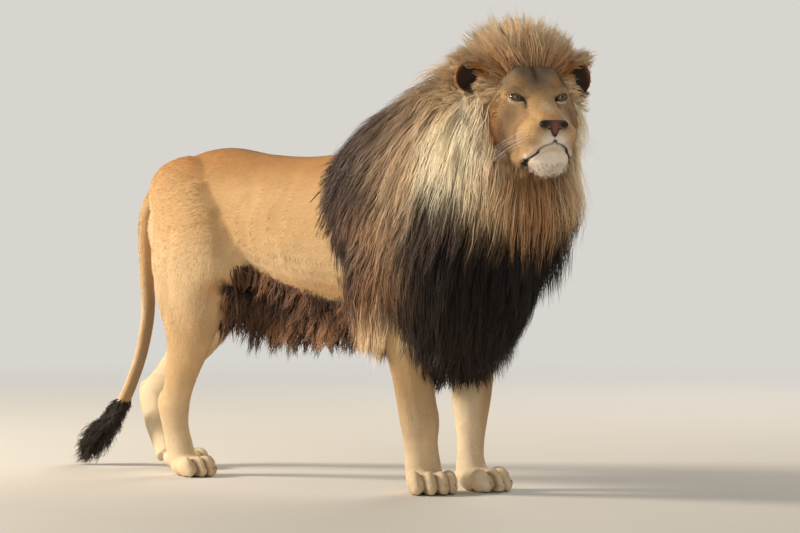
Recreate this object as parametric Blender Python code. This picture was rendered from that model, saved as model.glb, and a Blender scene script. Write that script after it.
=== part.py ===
"""A life-size standing male lion as named, closed solids, in metres with +Z up.

The lion faces +X with its left side towards +Y, stands on its four paws on the
plane Z = 0 and turns its head to the right, so the face points between +X and
-Y. The body, the mane, the head and the belly fringe are each shaped as clay:
overlapping lofts and ellipsoids fused into one skin, smoothed, then thinned to a
light mesh. The clays are cut clear of each other and parted into the named nodes.
The outer surfaces reach out to the tips of the coat.
"""

import math

import bmesh
import bpy
import numpy as np
from mathutils import Euler, Matrix, Vector

# ---------------------------------------------------------------- dimensions
GAP = 0.0004            # clearance between two neighbouring pieces
RUMP_Z = 0.835          # height of the middle of the hindquarters
CHEST_Z = 0.765         # height of the middle of the rib cage

HEAD_AT = Vector((0.969, -0.14, 1.148))   # midway between the eyes
HEAD_HEADING = math.radians(-37.0)       # the face is turned to the lion's right
HEAD_PITCH = math.radians(-3.0)          # and lifted a little
EYE_SPACING = 0.132
EYE_RADIUS = 0.0185
BEHIND_FACE = -0.11                      # the mane covers the head behind this
EAR_AT = Vector((-0.148, 0.154, 0.066))  # the left ear, in the head's frame
EAR_TURN = math.radians(32)              # the ears open to the sides
FACE_COAT = 0.003                        # depth of the short coat on the head
LID = 0.003                              # thickness of a lid over the eyeball

ELBOW_HEIGHT, WRIST_HEIGHT = 0.500, 0.080   # where the foreleg is parted
KNEE_HEIGHT, HEEL_HEIGHT = 0.460, 0.085     # where the hind leg is parted
TAIL_CUTS = (0.185, 0.430, 0.720)           # heights that part the tail

# The clays: the grain they are fused at, and the triangles that each keeps.
BODY_VOXEL, MANE_VOXEL, HEAD_VOXEL, FRINGE_VOXEL = 0.007, 0.008, 0.0035, 0.007
NOSE_VOXEL, EAR_VOXEL = 0.003, 0.004
BODY_FACES, MANE_FACES, HEAD_FACES, FRINGE_FACES = 1900, 720, 900, 180
NOSE_FACES, EAR_FACES = 120, 140
HIDDEN_THINNING = 0.992     # share of the faces taken from the hidden part of a skin
TOOL_THINNING = 0.03        # share of its faces that a round cutting tool keeps

RIGHT, LEFT = -1, 1

# Lofts are lists of stations (x, y, z, half width across, half width in the bend).
TRUNK = [
    (-0.612, 0, RUMP_Z - 0.005, 0.055, 0.070),
    (-0.560, 0, RUMP_Z, 0.100, 0.118),
    (-0.450, 0, RUMP_Z, 0.138, 0.148),
    (-0.330, 0, RUMP_Z, 0.150, 0.178),
    (-0.180, 0, 0.805, 0.158, 0.190),
    (0.000, 0, CHEST_Z + 0.005, 0.180, 0.218),
    (0.150, 0, CHEST_Z - 0.005, 0.195, 0.238),
    (0.300, 0, CHEST_Z, 0.200, 0.262),
    (0.450, 0, CHEST_Z + 0.015, 0.185, 0.262),
    (0.580, 0, CHEST_Z + 0.035, 0.150, 0.210),
    (0.660, 0, CHEST_Z + 0.055, 0.090, 0.120),
]
HIND_LEGS = {
    RIGHT: [
        (-0.400, -0.100, 0.860, 0.085, 0.130),
        (-0.360, -0.115, 0.750, 0.090, 0.172),
        (-0.345, -0.130, 0.650, 0.085, 0.175),
        (-0.350, -0.140, 0.560, 0.072, 0.148),
        (-0.356, -0.145, 0.480, 0.060, 0.116),
        (-0.370, -0.140, 0.410, 0.052, 0.088),
        (-0.398, -0.130, 0.340, 0.045, 0.067),
        (-0.428, -0.120, 0.270, 0.041, 0.056),
        (-0.450, -0.115, 0.210, 0.041, 0.060),
        (-0.450, -0.108, 0.150, 0.038, 0.051),
        (-0.442, -0.102, 0.100, 0.040, 0.050),
        (-0.430, -0.100, 0.045, 0.046, 0.055),
    ],
    LEFT: [
        (-0.420, 0.100, 0.860, 0.085, 0.130),
        (-0.430, 0.115, 0.750, 0.090, 0.155),
        (-0.460, 0.130, 0.650, 0.085, 0.145),
        (-0.500, 0.140, 0.560, 0.072, 0.125),
        (-0.535, 0.145, 0.480, 0.060, 0.100),
        (-0.580, 0.140, 0.410, 0.052, 0.080),
        (-0.640, 0.130, 0.340, 0.045, 0.063),
        (-0.700, 0.120, 0.275, 0.041, 0.054),
        (-0.738, 0.110, 0.220, 0.041, 0.058),
        (-0.720, 0.098, 0.150, 0.038, 0.050),
        (-0.685, 0.088, 0.100, 0.040, 0.050),
        (-0.645, 0.080, 0.045, 0.046, 0.055),
    ],
}
FORE_LEGS = {
    RIGHT: [
        (0.430, -0.140, 0.700, 0.080, 0.130),
        (0.445, -0.150, 0.600, 0.082, 0.105),
        (0.485, -0.140, 0.480, 0.075, 0.085),
        (0.497, -0.125, 0.360, 0.066, 0.068),
        (0.502, -0.112, 0.270, 0.062, 0.063),
        (0.505, -0.100, 0.210, 0.061, 0.064),
        (0.502, -0.090, 0.145, 0.053, 0.056),
        (0.502, -0.082, 0.085, 0.057, 0.058),
        (0.508, -0.080, 0.040, 0.060, 0.060),
    ],
    LEFT: [
        (0.430, 0.140, 0.700, 0.080, 0.130),
        (0.450, 0.150, 0.600, 0.082, 0.105),
        (0.500, 0.140, 0.480, 0.075, 0.085),
        (0.525, 0.125, 0.360, 0.067, 0.072),
        (0.532, 0.112, 0.270, 0.061, 0.065),
        (0.540, 0.100, 0.205, 0.052, 0.055),
        (0.548, 0.088, 0.140, 0.044, 0.046),
        (0.555, 0.078, 0.090, 0.045, 0.047),
        (0.565, 0.072, 0.040, 0.055, 0.058),
    ],
}
# Paws: middle of the sole, heading in degrees, width, length and height.
PAWS = {
    "hind_right": (Vector((-0.385, -0.105, 0)), -8, 0.125, 0.170, 0.072),
    "hind_left": (Vector((-0.580, 0.082, 0)), 4, 0.125, 0.170, 0.072),
    "fore_right": (Vector((0.545, -0.105, 0)), -30, 0.155, 0.170, 0.078),
    "fore_left": (Vector((0.610, 0.072, 0)), 5, 0.150, 0.170, 0.078),
}
TAIL = [
    (-0.520, 0, 0.925, 0.045, 0.050),
    (-0.585, 0, 0.895, 0.038, 0.042),
    (-0.640, 0, 0.840, 0.031, 0.034),
    (-0.672, 0, 0.760, 0.027, 0.029),
    (-0.670, 0, 0.615, 0.025, 0.026),
    (-0.664, 0, 0.505, 0.024, 0.025),
    (-0.682, 0, 0.403, 0.023, 0.024),
    (-0.713, 0, 0.315, 0.022, 0.023),
    (-0.763, 0, 0.220, 0.023, 0.023),
    (-0.808, 0, 0.164, 0.030, 0.030),
    (-0.855, -0.004, 0.116, 0.042, 0.042),
    (-0.890, -0.010, 0.075, 0.048, 0.044),
    (-0.917, -0.018, 0.036, 0.034, 0.030),
    (-0.930, -0.022, 0.014, 0.006, 0.006),
]
MANE_NECK = [
    (0.135, 0.000, 0.800, 0.140, 0.165),
    (0.228, 0.000, 0.800, 0.200, 0.250),
    (0.345, 0.000, 0.810, 0.265, 0.312),
    (0.480, -0.005, 0.855, 0.300, 0.335),
    (0.700, -0.030, 1.000, 0.265, 0.310),
    (0.870, -0.085, 1.110, 0.205, 0.250),
]
# The bib: (height, middle x, half length along the body, half width across).
MANE_BIB = [
    (1.000, 0.690, 0.240, 0.265),
    (0.850, 0.660, 0.285, 0.300),
    (0.650, 0.580, 0.275, 0.290),
    (0.500, 0.550, 0.235, 0.245),
    (0.400, 0.545, 0.175, 0.190),
    (0.345, 0.545, 0.090, 0.110),
]
BELLY_FRINGE = [
    (-0.330, 0.000, 0.585, 0.040, 0.050),
    (-0.260, 0.000, 0.545, 0.075, 0.075),
    (-0.150, 0.000, 0.500, 0.080, 0.095),
    (0.000, 0.000, 0.475, 0.075, 0.085),
    (0.130, 0.000, 0.460, 0.075, 0.070),
    (0.250, 0.000, 0.455, 0.075, 0.075),
    (0.400, 0.000, 0.460, 0.070, 0.070),
]
# The hair of the flank fold: from the front of each thigh in to the belly.
FLANK_FRINGE = [
    (-0.235, 0.150, 0.660, 0.010, 0.015),
    (-0.235, 0.150, 0.600, 0.028, 0.042),
    (-0.225, 0.125, 0.540, 0.034, 0.055),
    (-0.190, 0.060, 0.500, 0.050, 0.065),
]
# The head's sections from back to front, in its own frame: (forward, top, and then for
# three corners of the left half the distance out and the height, and the bottom).
HEAD_SECTIONS = [
    (-0.240, 0.050, 0.050, 0.035, 0.085, -0.030, 0.060, -0.100, -0.120),
    (-0.200, 0.085, 0.065, 0.065, 0.112, -0.015, 0.085, -0.120, -0.165),
    (-0.150, 0.106, 0.070, 0.086, 0.128, -0.005, 0.100, -0.125, -0.190),
    (-0.100, 0.106, 0.070, 0.086, 0.130, -0.025, 0.100, -0.130, -0.200),
    (-0.060, 0.086, 0.066, 0.068, 0.120, -0.040, 0.092, -0.140, -0.204),
    (-0.030, 0.054, 0.060, 0.044, 0.106, -0.052, 0.084, -0.145, -0.204),
    (0.000, 0.020, 0.047, 0.004, 0.093, -0.062, 0.076, -0.148, -0.202),
    (0.040, -0.010, 0.040, -0.025, 0.080, -0.082, 0.070, -0.150, -0.198),
    (0.080, -0.031, 0.037, -0.043, 0.074, -0.100, 0.064, -0.150, -0.188),
    (0.110, -0.045, 0.035, -0.056, 0.070, -0.106, 0.056, -0.148, -0.168),
    (0.132, -0.058, 0.030, -0.068, 0.058, -0.108, 0.044, -0.140, -0.152),
    (0.147, -0.074, 0.016, -0.080, 0.034, -0.110, 0.024, -0.132, -0.138),
]
# The line of the mouth from the front of the lips to the jaw's hinge: (forward, height).
MOUTH_LINE = [(0.200, -0.107), (0.148, -0.138), (0.122, -0.158), (0.066, -0.187),
              (-0.040, -0.190), (-0.060, -0.260), (0.200, -0.260)]


# ------------------------------------------------------------------- helpers
def between_stations(stations, steps):
    """The stations with `steps` more between each two, on a Catmull-Rom curve."""
    rows = np.array(stations, float)
    padded = np.vstack([2 * rows[0] - rows[1], rows, 2 * rows[-1] - rows[-2]])
    result = []
    for i in range(1, len(padded) - 2):
        p0, p1, p2, p3 = padded[i - 1:i + 3]
        for k in range(steps):
            t = k / steps
            linear = (p2 - p0) * t
            square = (2 * p0 - 5 * p1 + 4 * p2 - p3) * t ** 2
            cube = (3 * p1 - p0 - 3 * p2 + p3) * t ** 3
            result.append(0.5 * (2 * p1 + linear + square + cube))
    result.append(rows[-1])
    return np.array(result)


def skin_rings(bm, rings):
    """Joins rings of vertices into a closed tube with a fan at each end."""
    count = len(rings[0])
    for lower, upper in zip(rings, rings[1:]):
        for i in range(count):
            j = (i + 1) % count
            bm.faces.new((lower[i], lower[j], upper[j], upper[i]))
    for ring, turn in ((rings[0], -1), (rings[-1], 1)):
        middle = sum((v.co for v in ring), Vector()) / count
        tip = bm.verts.new(middle)
        for i in range(count):
            edge = (ring[i], ring[(i + 1) % count])
            bm.faces.new((edge[0], edge[1], tip) if turn == 1 else (edge[1], edge[0], tip))


def loft(bm, stations, sides=20, steps=4, flute=None):
    """A tube through the stations; flute(angle, row) scales a ring's radius."""
    rows = between_stations(stations, steps)
    rings = []
    for i, row in enumerate(rows):
        before, after = rows[max(i - 1, 0)], rows[min(i + 1, len(rows) - 1)]
        along = Vector(after[:3] - before[:3]).normalized()
        across = (Vector((0, 1, 0)) - along * along.y).normalized()
        bend = across.cross(along)
        ring = []
        for k in range(sides):
            angle = 2 * math.pi * k / sides
            scale = flute(angle, row) if flute else 1.0
            offset = across * math.cos(angle) * max(row[3], 0.002)
            offset += bend * math.sin(angle) * max(row[4], 0.002)
            ring.append(bm.verts.new(Vector(row[:3]) + offset * scale))
        rings.append(ring)
    skin_rings(bm, rings)


def ellipsoid(bm, centre, radii, turn=(0, 0, 0), place=Matrix()):
    """An ellipsoid; turn is its own rotation in degrees, place the frame it is in."""
    rotation = Euler([math.radians(a) for a in turn]).to_matrix().to_4x4()
    matrix = place @ Matrix.Translation(centre) @ rotation @ Matrix.Diagonal((*radii, 1))
    bmesh.ops.create_icosphere(bm, subdivisions=4, radius=1, matrix=matrix)


def new_object(name, bm):
    bmesh.ops.recalc_face_normals(bm, faces=bm.faces)
    mesh = bpy.data.meshes.new(name)
    bm.to_mesh(mesh)
    bm.free()
    obj = bpy.data.objects.new(name, mesh)
    bpy.context.scene.collection.objects.link(obj)
    return obj


def apply_modifiers(obj):
    """Replaces the object's mesh by what its modifiers make of it."""
    bpy.context.view_layer.update()
    graph = bpy.context.evaluated_depsgraph_get()
    made = bpy.data.meshes.new_from_object(obj.evaluated_get(graph))
    old = obj.data
    obj.modifiers.clear()
    obj.data = made
    bpy.data.meshes.remove(old)


def fuse(obj, voxel, smoothing, faces, hidden=None, coat=0.0):
    """Fuses overlapping shapes into one smooth skin of about `faces` triangles.

    The skin is then raised by the depth of the coat. Where hidden(point) holds,
    another piece covers the skin, so it is thinned more.
    """
    remesh = obj.modifiers.new("Fuse", "REMESH")
    remesh.mode = "VOXEL"
    remesh.voxel_size = voxel
    soften = obj.modifiers.new("Soften", "SMOOTH")
    soften.factor = 0.5
    soften.iterations = smoothing
    raised = obj.modifiers.new("Coat", "DISPLACE")
    raised.strength = coat
    raised.mid_level = 0.0
    apply_modifiers(obj)
    if hidden:
        group = obj.vertex_groups.new(name="hidden")
        covered = [vert.index for vert in obj.data.vertices if hidden(vert.co)]
        group.add(covered, 1.0, "REPLACE")
        coarse = obj.modifiers.new("Coarse", "DECIMATE")
        coarse.vertex_group = group.name
        coarse.vertex_group_factor = 1.0
        coarse.ratio = 1 - HIDDEN_THINNING * len(covered) / len(obj.data.vertices)
        apply_modifiers(obj)
    thin = obj.modifiers.new("Thin", "DECIMATE")
    thin.ratio = faces / sum(len(face.vertices) - 2 for face in obj.data.polygons)
    apply_modifiers(obj)
    return obj


def grown(obj, amount):
    """A hidden copy of the object, swollen along its normals."""
    copy = bpy.data.objects.new(obj.name + "_grown", obj.data.copy())
    bpy.context.scene.collection.objects.link(copy)
    swell = copy.modifiers.new("Swell", "DISPLACE")
    swell.strength = amount
    swell.mid_level = 0.0
    apply_modifiers(copy)
    return copy


def boolean(obj, other, operation):
    cut = obj.modifiers.new("Cut", "BOOLEAN")
    cut.solver = "EXACT"
    cut.operation = operation
    cut.object = other
    apply_modifiers(obj)


def drop(obj):
    mesh = obj.data
    bpy.data.objects.remove(obj)
    bpy.data.meshes.remove(mesh)


def keep_largest(obj):
    """Removes the chips that a cut leaves beside the piece itself."""
    bm = bmesh.new()
    bm.from_mesh(obj.data)
    left = set(bm.verts)
    islands = []
    while left:
        front, island = [left.pop()], set()
        while front:
            vert = front.pop()
            island.add(vert)
            for edge in vert.link_edges:
                other = edge.other_vert(vert)
                if other in left:
                    left.remove(other)
                    front.append(other)
        islands.append(island)
    largest = max(islands, key=len)
    chips = [v for island in islands if island is not largest for v in island]
    bmesh.ops.delete(bm, geom=chips, context="VERTS")
    bm.to_mesh(obj.data)
    bm.free()


def cut_clear(obj, *others):
    """Cuts the others out of the object, leaving the gap round them.

    A swollen copy can fold in on itself in a crease, so the other cuts there too.
    """
    for other in others:
        cutter = grown(other, GAP)
        boolean(obj, cutter, "DIFFERENCE")
        boolean(obj, other, "DIFFERENCE")
        drop(cutter)
    keep_largest(obj)


def part_off(body, name, tool):
    """Parts off what lies inside the tool; the body keeps the rest, a gap away."""
    piece = bpy.data.objects.new(name, body.data.copy())
    bpy.context.scene.collection.objects.link(piece)
    boolean(piece, tool, "INTERSECT")
    keep_largest(piece)
    swollen = grown(tool, GAP)
    boolean(body, swollen, "DIFFERENCE")
    keep_largest(body)
    drop(swollen)
    drop(tool)
    return piece


def box_tool(low, high, place=Matrix()):
    bm = bmesh.new()
    size = Vector(high) - Vector(low)
    middle = (Vector(high) + Vector(low)) / 2
    matrix = place @ Matrix.Translation(middle) @ Matrix.Diagonal((*size, 1))
    bmesh.ops.create_cube(bm, size=1, matrix=matrix)
    return new_object("tool", bm)


def prism_tool(profile, half_width, place=Matrix()):
    """A prism across the frame; the profile runs (forward, height)."""
    bm = bmesh.new()
    rings = []
    for side in (RIGHT, LEFT):
        corners = [place @ Vector((x, side * half_width, z)) for x, z in profile]
        rings.append([bm.verts.new(corner) for corner in corners])
    count = len(profile)
    for i in range(count):
        j = (i + 1) % count
        bm.faces.new((rings[0][i], rings[0][j], rings[1][j], rings[1][i]))
    for ring in rings:
        bm.faces.new(ring)
    bmesh.ops.triangulate(bm, faces=bm.faces)
    return new_object("tool", bm)


def round_tool(centre, radii, turn=(0, 0, 0), place=Matrix()):
    bm = bmesh.new()
    ellipsoid(bm, centre, radii, turn, place)
    tool = new_object("tool", bm)
    thin = tool.modifiers.new("Thin", "DECIMATE")
    thin.ratio = TOOL_THINNING
    apply_modifiers(tool)
    return tool


def on_both_sides(centre, side):
    return (centre[0], side * centre[1], centre[2])


# ---------------------------------------------------------------------- body
def add_paw(bm, middle, heading, width, length, height):
    """A paw as a pad with four toes round its front, a little below the floor."""
    place = Matrix.Translation(middle) @ Matrix.Rotation(math.radians(heading), 4, "Z")
    half_width, half_length = width / 2, length / 2
    pad = (-0.25 * half_length, 0, 0.42 * height)
    ellipsoid(bm, pad, (0.72 * half_length, 0.80 * half_width, 0.50 * height), place=place)
    for lateral, forward in ((-0.72, 0.22), (-0.26, 0.50), (0.26, 0.50), (0.72, 0.22)):
        toe = (forward * half_length, lateral * half_width, 0.40 * height)
        reach = (0.48 * half_length, 0.33 * half_width, 0.45 * height)
        ellipsoid(bm, toe, reach, turn=(0, 0, 14 * lateral), place=place)


def add_haunch(bm, side):
    ellipsoid(bm, (-0.405, side * 0.085, 0.850), (0.165, 0.085, 0.130), (0, 12, 0))
    ellipsoid(bm, (-0.500, side * 0.075, 0.760), (0.075, 0.070, 0.130))
    ellipsoid(bm, (-0.260, side * 0.120, 0.690), (0.110, 0.045, 0.110), (0, -20, 0))


def add_hock(bm, side):
    hock = HIND_LEGS[side][8]
    ellipsoid(bm, (hock[0] - 0.040, hock[1], hock[2] + 0.010), (0.026, 0.026, 0.044))


def body_clay():
    bm = bmesh.new()
    loft(bm, TRUNK, sides=32)
    for side in (RIGHT, LEFT):
        loft(bm, HIND_LEGS[side])
        loft(bm, FORE_LEGS[side])
        add_haunch(bm, side)
        add_hock(bm, side)
    for paw in PAWS.values():
        add_paw(bm, *paw)
    body = fuse(new_object("trunk", bm), BODY_VOXEL, 6, BODY_FACES)
    below_floor = box_tool((-1.5, -1, -0.2), (1.5, 1, 0))
    boolean(body, below_floor, "DIFFERENCE")
    drop(below_floor)
    return body


def tail_solid():
    bm = bmesh.new()
    loft(bm, TAIL, sides=10, steps=2)
    return new_object("tail_root", bm)


def fringe_clay():
    bm = bmesh.new()
    loft(bm, BELLY_FRINGE)
    for side in (RIGHT, LEFT):
        loft(bm, [(x, side * y, *rest) for x, y, *rest in FLANK_FRINGE])
    return fuse(new_object("belly_fringe", bm), FRINGE_VOXEL, 3, FRINGE_FACES)


# ---------------------------------------------------------------------- mane
def mane_flutes(angle, row):
    """Shallow locks along the mane, a hand's breadth apart."""
    return 1 + 0.022 * math.sin(17 * angle + 6 * row[0]) + 0.012 * math.sin(31 * angle + 2)


def add_bib(bm):
    """The bib hangs down the chest: its rings lie flat, one above the other."""
    rings = []
    sides = 40
    for height, middle, half_x, half_y in between_stations(MANE_BIB, 4):
        ring = []
        for k in range(sides):
            angle = 2 * math.pi * k / sides
            lock = 1 + 0.025 * math.sin(13 * angle + 5 * height)
            offset = Vector((math.cos(angle) * half_x, math.sin(angle) * half_y, 0)) * lock
            ring.append(bm.verts.new(Vector((middle, 0, height)) + offset))
        rings.append(ring)
    skin_rings(bm, rings)


def head_place():
    """The head's own frame: x forward, y left, z up, origin between the eyes."""
    heading = Matrix.Rotation(HEAD_HEADING, 4, "Z")
    return Matrix.Translation(HEAD_AT) @ heading @ Matrix.Rotation(HEAD_PITCH, 4, "Y")


def mane_clay():
    bm = bmesh.new()
    place = head_place()
    loft(bm, MANE_NECK, sides=48, flute=mane_flutes)
    add_bib(bm)
    ellipsoid(bm, (-0.170, 0, -0.020), (0.145, 0.215, 0.275), place=place)
    ellipsoid(bm, (-0.140, 0, -0.150), (0.120, 0.175, 0.200), place=place)
    ellipsoid(bm, (-0.165, 0, -0.280), (0.140, 0.185, 0.220), place=place)
    for side in (RIGHT, LEFT):      # the hair that hangs behind each elbow
        ellipsoid(bm, (0.400, side * 0.175, 0.580), (0.105, 0.105, 0.170), (0, -14, 0))
    return fuse(new_object("mane_neck", bm), MANE_VOXEL, 5, MANE_FACES)


# ---------------------------------------------------------------------- head
def face_ring(row):
    """A closed smooth outline through a section's corners, as (out, height)."""
    half = [(row[2], row[3]), (row[4], row[5]), (row[6], row[7])]
    mirrored = [(-out, height) for out, height in half[::-1]]
    corners = [(0, row[1]), *half, (0, row[8]), *mirrored]
    steps = 6
    closed = [corners[-1], *corners, *corners[:2]]
    return between_stations(closed, steps)[steps:-steps - 1]


def head_clay():
    bm = bmesh.new()
    place = head_place()
    rings = []
    for row in between_stations(HEAD_SECTIONS, 4):
        outline = face_ring(row)
        rings.append([bm.verts.new(place @ Vector((row[0], *point))) for point in outline])
    skin_rings(bm, rings)

    def pair(centre, radii, turn=(0, 0, 0)):
        for side in (RIGHT, LEFT):
            tilt = (side * turn[0], turn[1], side * turn[2])
            ellipsoid(bm, on_both_sides(centre, side), radii, tilt, place)

    pair((0.098, 0.036, -0.112), (0.048, 0.040, 0.037))                # whisker pads
    pair((0.070, 0.046, -0.142), (0.056, 0.026, 0.038), (0, 18, -8))   # hanging lips
    ellipsoid(bm, (0.078, 0, -0.184), (0.046, 0.054, 0.036), place=place)      # chin
    pair((0.015, 0.046, -0.168), (0.080, 0.034, 0.034), (0, 4, -12))   # jaw
    pair((-0.080, 0.080, -0.080), (0.070, 0.050, 0.070))               # cheeks
    pair((-0.032, 0.064, 0.016), (0.024, 0.034, 0.014), (0, 0, -20))   # brows
    pair((-0.017, EYE_SPACING / 2, 0), (EYE_RADIUS + LID,) * 3)        # lids
    to_head = place.inverted()
    return fuse(new_object("head", bm), HEAD_VOXEL, 8, HEAD_FACES,
                lambda point: (to_head @ point).x < BEHIND_FACE, FACE_COAT)


def nose_solid():
    """The nose leather: a broad wedge, narrowing to the cleft of the lip."""
    bm = bmesh.new()
    place = head_place()
    ellipsoid(bm, (0.136, 0, -0.079), (0.024, 0.043, 0.016), (0, 20, 0), place)
    ellipsoid(bm, (0.142, 0, -0.092), (0.016, 0.022, 0.022), (0, 10, 0), place)
    return fuse(new_object("nose", bm), NOSE_VOXEL, 2, NOSE_FACES)


def eye_solid(side):
    bm = bmesh.new()
    at = head_place() @ Vector((-0.017, side * EYE_SPACING / 2, 0))
    matrix = Matrix.Translation(at)
    bmesh.ops.create_uvsphere(bm, u_segments=12, v_segments=7, radius=EYE_RADIUS, matrix=matrix)
    return new_object("eye_right" if side == RIGHT else "eye_left", bm)


def open_eyelids(head):
    """Cuts the slot between the lids, through which the eyeball shows."""
    for side in (RIGHT, LEFT):
        slot = round_tool((0.010, side * EYE_SPACING / 2, 0), (0.024, 0.0195, 0.0085),
                          (side * 15, 0, 0), head_place())
        boolean(head, slot, "DIFFERENCE")
        drop(slot)


def ear_place(side):
    place = head_place() @ Matrix.Translation(on_both_sides(EAR_AT, side))
    return place @ Matrix.Rotation(side * EAR_TURN, 4, "Z")


def clear_before_ear(mane, side):
    """Opens the mane in front of an ear, where the hair parts round it."""
    room = round_tool((0.055, 0, 0.004), (0.085, 0.066, 0.060), place=ear_place(side))
    boolean(mane, room, "DIFFERENCE")
    drop(room)


def ear_shapes(side):
    """The ear as a hollow cup, and the plain round form that it fills."""
    place = ear_place(side)
    bm = bmesh.new()
    ellipsoid(bm, (0, 0, 0), (0.034, 0.057, 0.054), place=place)
    ellipsoid(bm, (-0.020, -side * 0.030, -0.030), (0.034, 0.040, 0.040), place=place)
    whole = fuse(new_object("ear_whole", bm), EAR_VOXEL, 2, EAR_FACES)
    cup = bpy.data.objects.new("ear_right" if side == RIGHT else "ear_left", whole.data.copy())
    bpy.context.scene.collection.objects.link(cup)
    hollow = round_tool((0.026, 0, 0.002), (0.034, 0.040, 0.043), place=place)
    boolean(cup, hollow, "DIFFERENCE")
    drop(hollow)
    keep_largest(cup)
    return cup, whole


# --------------------------------------------------------------- put together
def part_legs(body):
    """Parts paws, shanks and thighs from the body, and paws from the forearms."""
    pieces = []
    for side, word in ((RIGHT, "right"), (LEFT, "left")):
        near, far = sorted((side * 0.002, side * 0.40))
        hind_x = HIND_LEGS[side][8][0]
        pieces.append(part_off(body, f"hind_paw_{word}",
                               box_tool((hind_x - 0.15, near, -0.02),
                                        (hind_x + 0.30, far, HEEL_HEIGHT))))
        pieces.append(part_off(body, f"shank_{word}",
                               box_tool((hind_x - 0.15, near, 0.05),
                                        (hind_x + 0.45, far, KNEE_HEIGHT))))
        knee = HIND_LEGS[side][2]
        pieces.append(part_off(body, f"thigh_{word}",
                               round_tool((knee[0] - 0.02, side * 0.17, 0.640),
                                          (0.225, 0.130, 0.250))))
        pieces.append(part_off(body, f"fore_paw_{word}",
                               box_tool((0.35, near, -0.02), (0.80, far, WRIST_HEIGHT))))
        pieces.append(part_off(body, f"forearm_{word}",
                               box_tool((0.30, near, 0.05), (0.80, far, ELBOW_HEIGHT))))
    return pieces


def part_tail(tail):
    """Four lengths: root, middle, end and tuft."""
    pieces = [tail]
    for name, top in zip(("tail_tuft", "tail_end", "tail_middle"), TAIL_CUTS):
        pieces.append(part_off(tail, name, box_tool((-1.2, -0.2, -0.1), (-0.3, 0.2, top))))
    return pieces


def part_mane(mane):
    """Parts the ruff round the face and the bib on the chest from the neck's mane."""
    ruff = part_off(mane, "mane_ruff", round_tool((-0.120, 0, -0.060), (0.170, 0.300, 0.380),
                                                  place=head_place()))
    bib = part_off(mane, "mane_bib", box_tool((0.10, -0.5, 0.0), (1.2, 0.5, 0.640)))
    return [mane, ruff, bib]


def part_head(head):
    """Parts the lower jaw from the head along the line of the mouth."""
    jaw = part_off(head, "jaw", prism_tool(MOUTH_LINE, 0.2, head_place()))
    return [head, jaw]


def plain_material(name, colour, roughness):
    material = bpy.data.materials.new(name)
    material.use_nodes = True
    shader = material.node_tree.nodes["Principled BSDF"]
    shader.inputs["Base Color"].default_value = (*colour, 1)
    shader.inputs["Roughness"].default_value = roughness
    material.diffuse_color = (*colour, 1)
    return material


def finish(pieces):
    """Materials, smooth shading, and the origin under the middle of the box."""
    finishes = {
        "coat": ("short_coat", (0.52, 0.33, 0.16), 0.85),
        "mane": ("mane_hair", (0.10, 0.055, 0.03), 0.80),
        "ruff": ("ruff_hair", (0.62, 0.42, 0.22), 0.80),
        "nose": ("nose_leather", (0.06, 0.035, 0.03), 0.45),
        "eye": ("eye_amber", (0.35, 0.19, 0.05), 0.10),
    }
    made = {}
    for piece in pieces:
        kind = "coat"
        if piece.name in ("mane_neck", "mane_bib", "belly_fringe", "tail_tuft"):
            kind = "mane"
        elif piece.name == "mane_ruff":
            kind = "ruff"
        elif piece.name.split("_")[0] in ("nose", "eye"):
            kind = piece.name.split("_")[0]
        if kind not in made:
            made[kind] = plain_material(*finishes[kind])
        piece.data.materials.clear()
        piece.data.materials.append(made[kind])
        piece.data.shade_smooth()
    corners = np.array([v.co for piece in pieces for v in piece.data.vertices])
    low, high = corners.min(axis=0), corners.max(axis=0)
    origin = Vector(((low[0] + high[0]) / 2, (low[1] + high[1]) / 2, 0))
    for piece in pieces:
        piece.data.transform(Matrix.Translation(-origin))


def main():
    for obj in list(bpy.data.objects):
        bpy.data.objects.remove(obj)
    head = head_clay()
    nose = nose_solid()
    eyes = [eye_solid(side) for side in (RIGHT, LEFT)]
    ears, ear_forms = zip(*[ear_shapes(side) for side in (RIGHT, LEFT)])
    mane = mane_clay()
    body = body_clay()
    tail = tail_solid()
    fringe = fringe_clay()

    cut_clear(tail, body)
    cut_clear(fringe, body, mane)
    legs = part_legs(body)
    for piece in (body, *legs):
        if piece.name.startswith(("trunk", "forearm")):
            cut_clear(piece, mane)
    for side in (RIGHT, LEFT):
        clear_before_ear(mane, side)
    cut_clear(mane, head, *ear_forms)
    open_eyelids(head)
    cut_clear(head, nose, *eyes, *ear_forms)
    for form in ear_forms:
        drop(form)

    pieces = [body, fringe, nose, *eyes, *ears, *legs]
    rump = part_off(body, "rump", box_tool((-1.0, -0.5, 0.3), (-0.30, 0.5, 1.3)))
    pieces.append(rump)
    pieces += part_tail(tail) + part_mane(mane) + part_head(head)
    finish(pieces)


main()
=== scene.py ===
"""A life-size standing male lion: its skin, coat, mane, eyes, nose and claws.

Everything is modelled in the lion's own frame, in metres: +X towards the front of the
body, +Y towards its left side, +Z up, with the origin between the paws. At the end each
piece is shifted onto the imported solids, which the eyeballs fix. One skin covers the
flesh and the mass of the mane; locks of hair are solid mesh that follow the lie of the
coat over it.
"""

import logging
import math
from collections.abc import Callable, Sequence
from dataclasses import dataclass, field
from enum import Enum

import bmesh
import bpy
import numpy as np
from mathutils import Euler, Matrix, Vector
from mathutils.bvhtree import BVHTree
from mathutils.kdtree import KDTree


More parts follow.
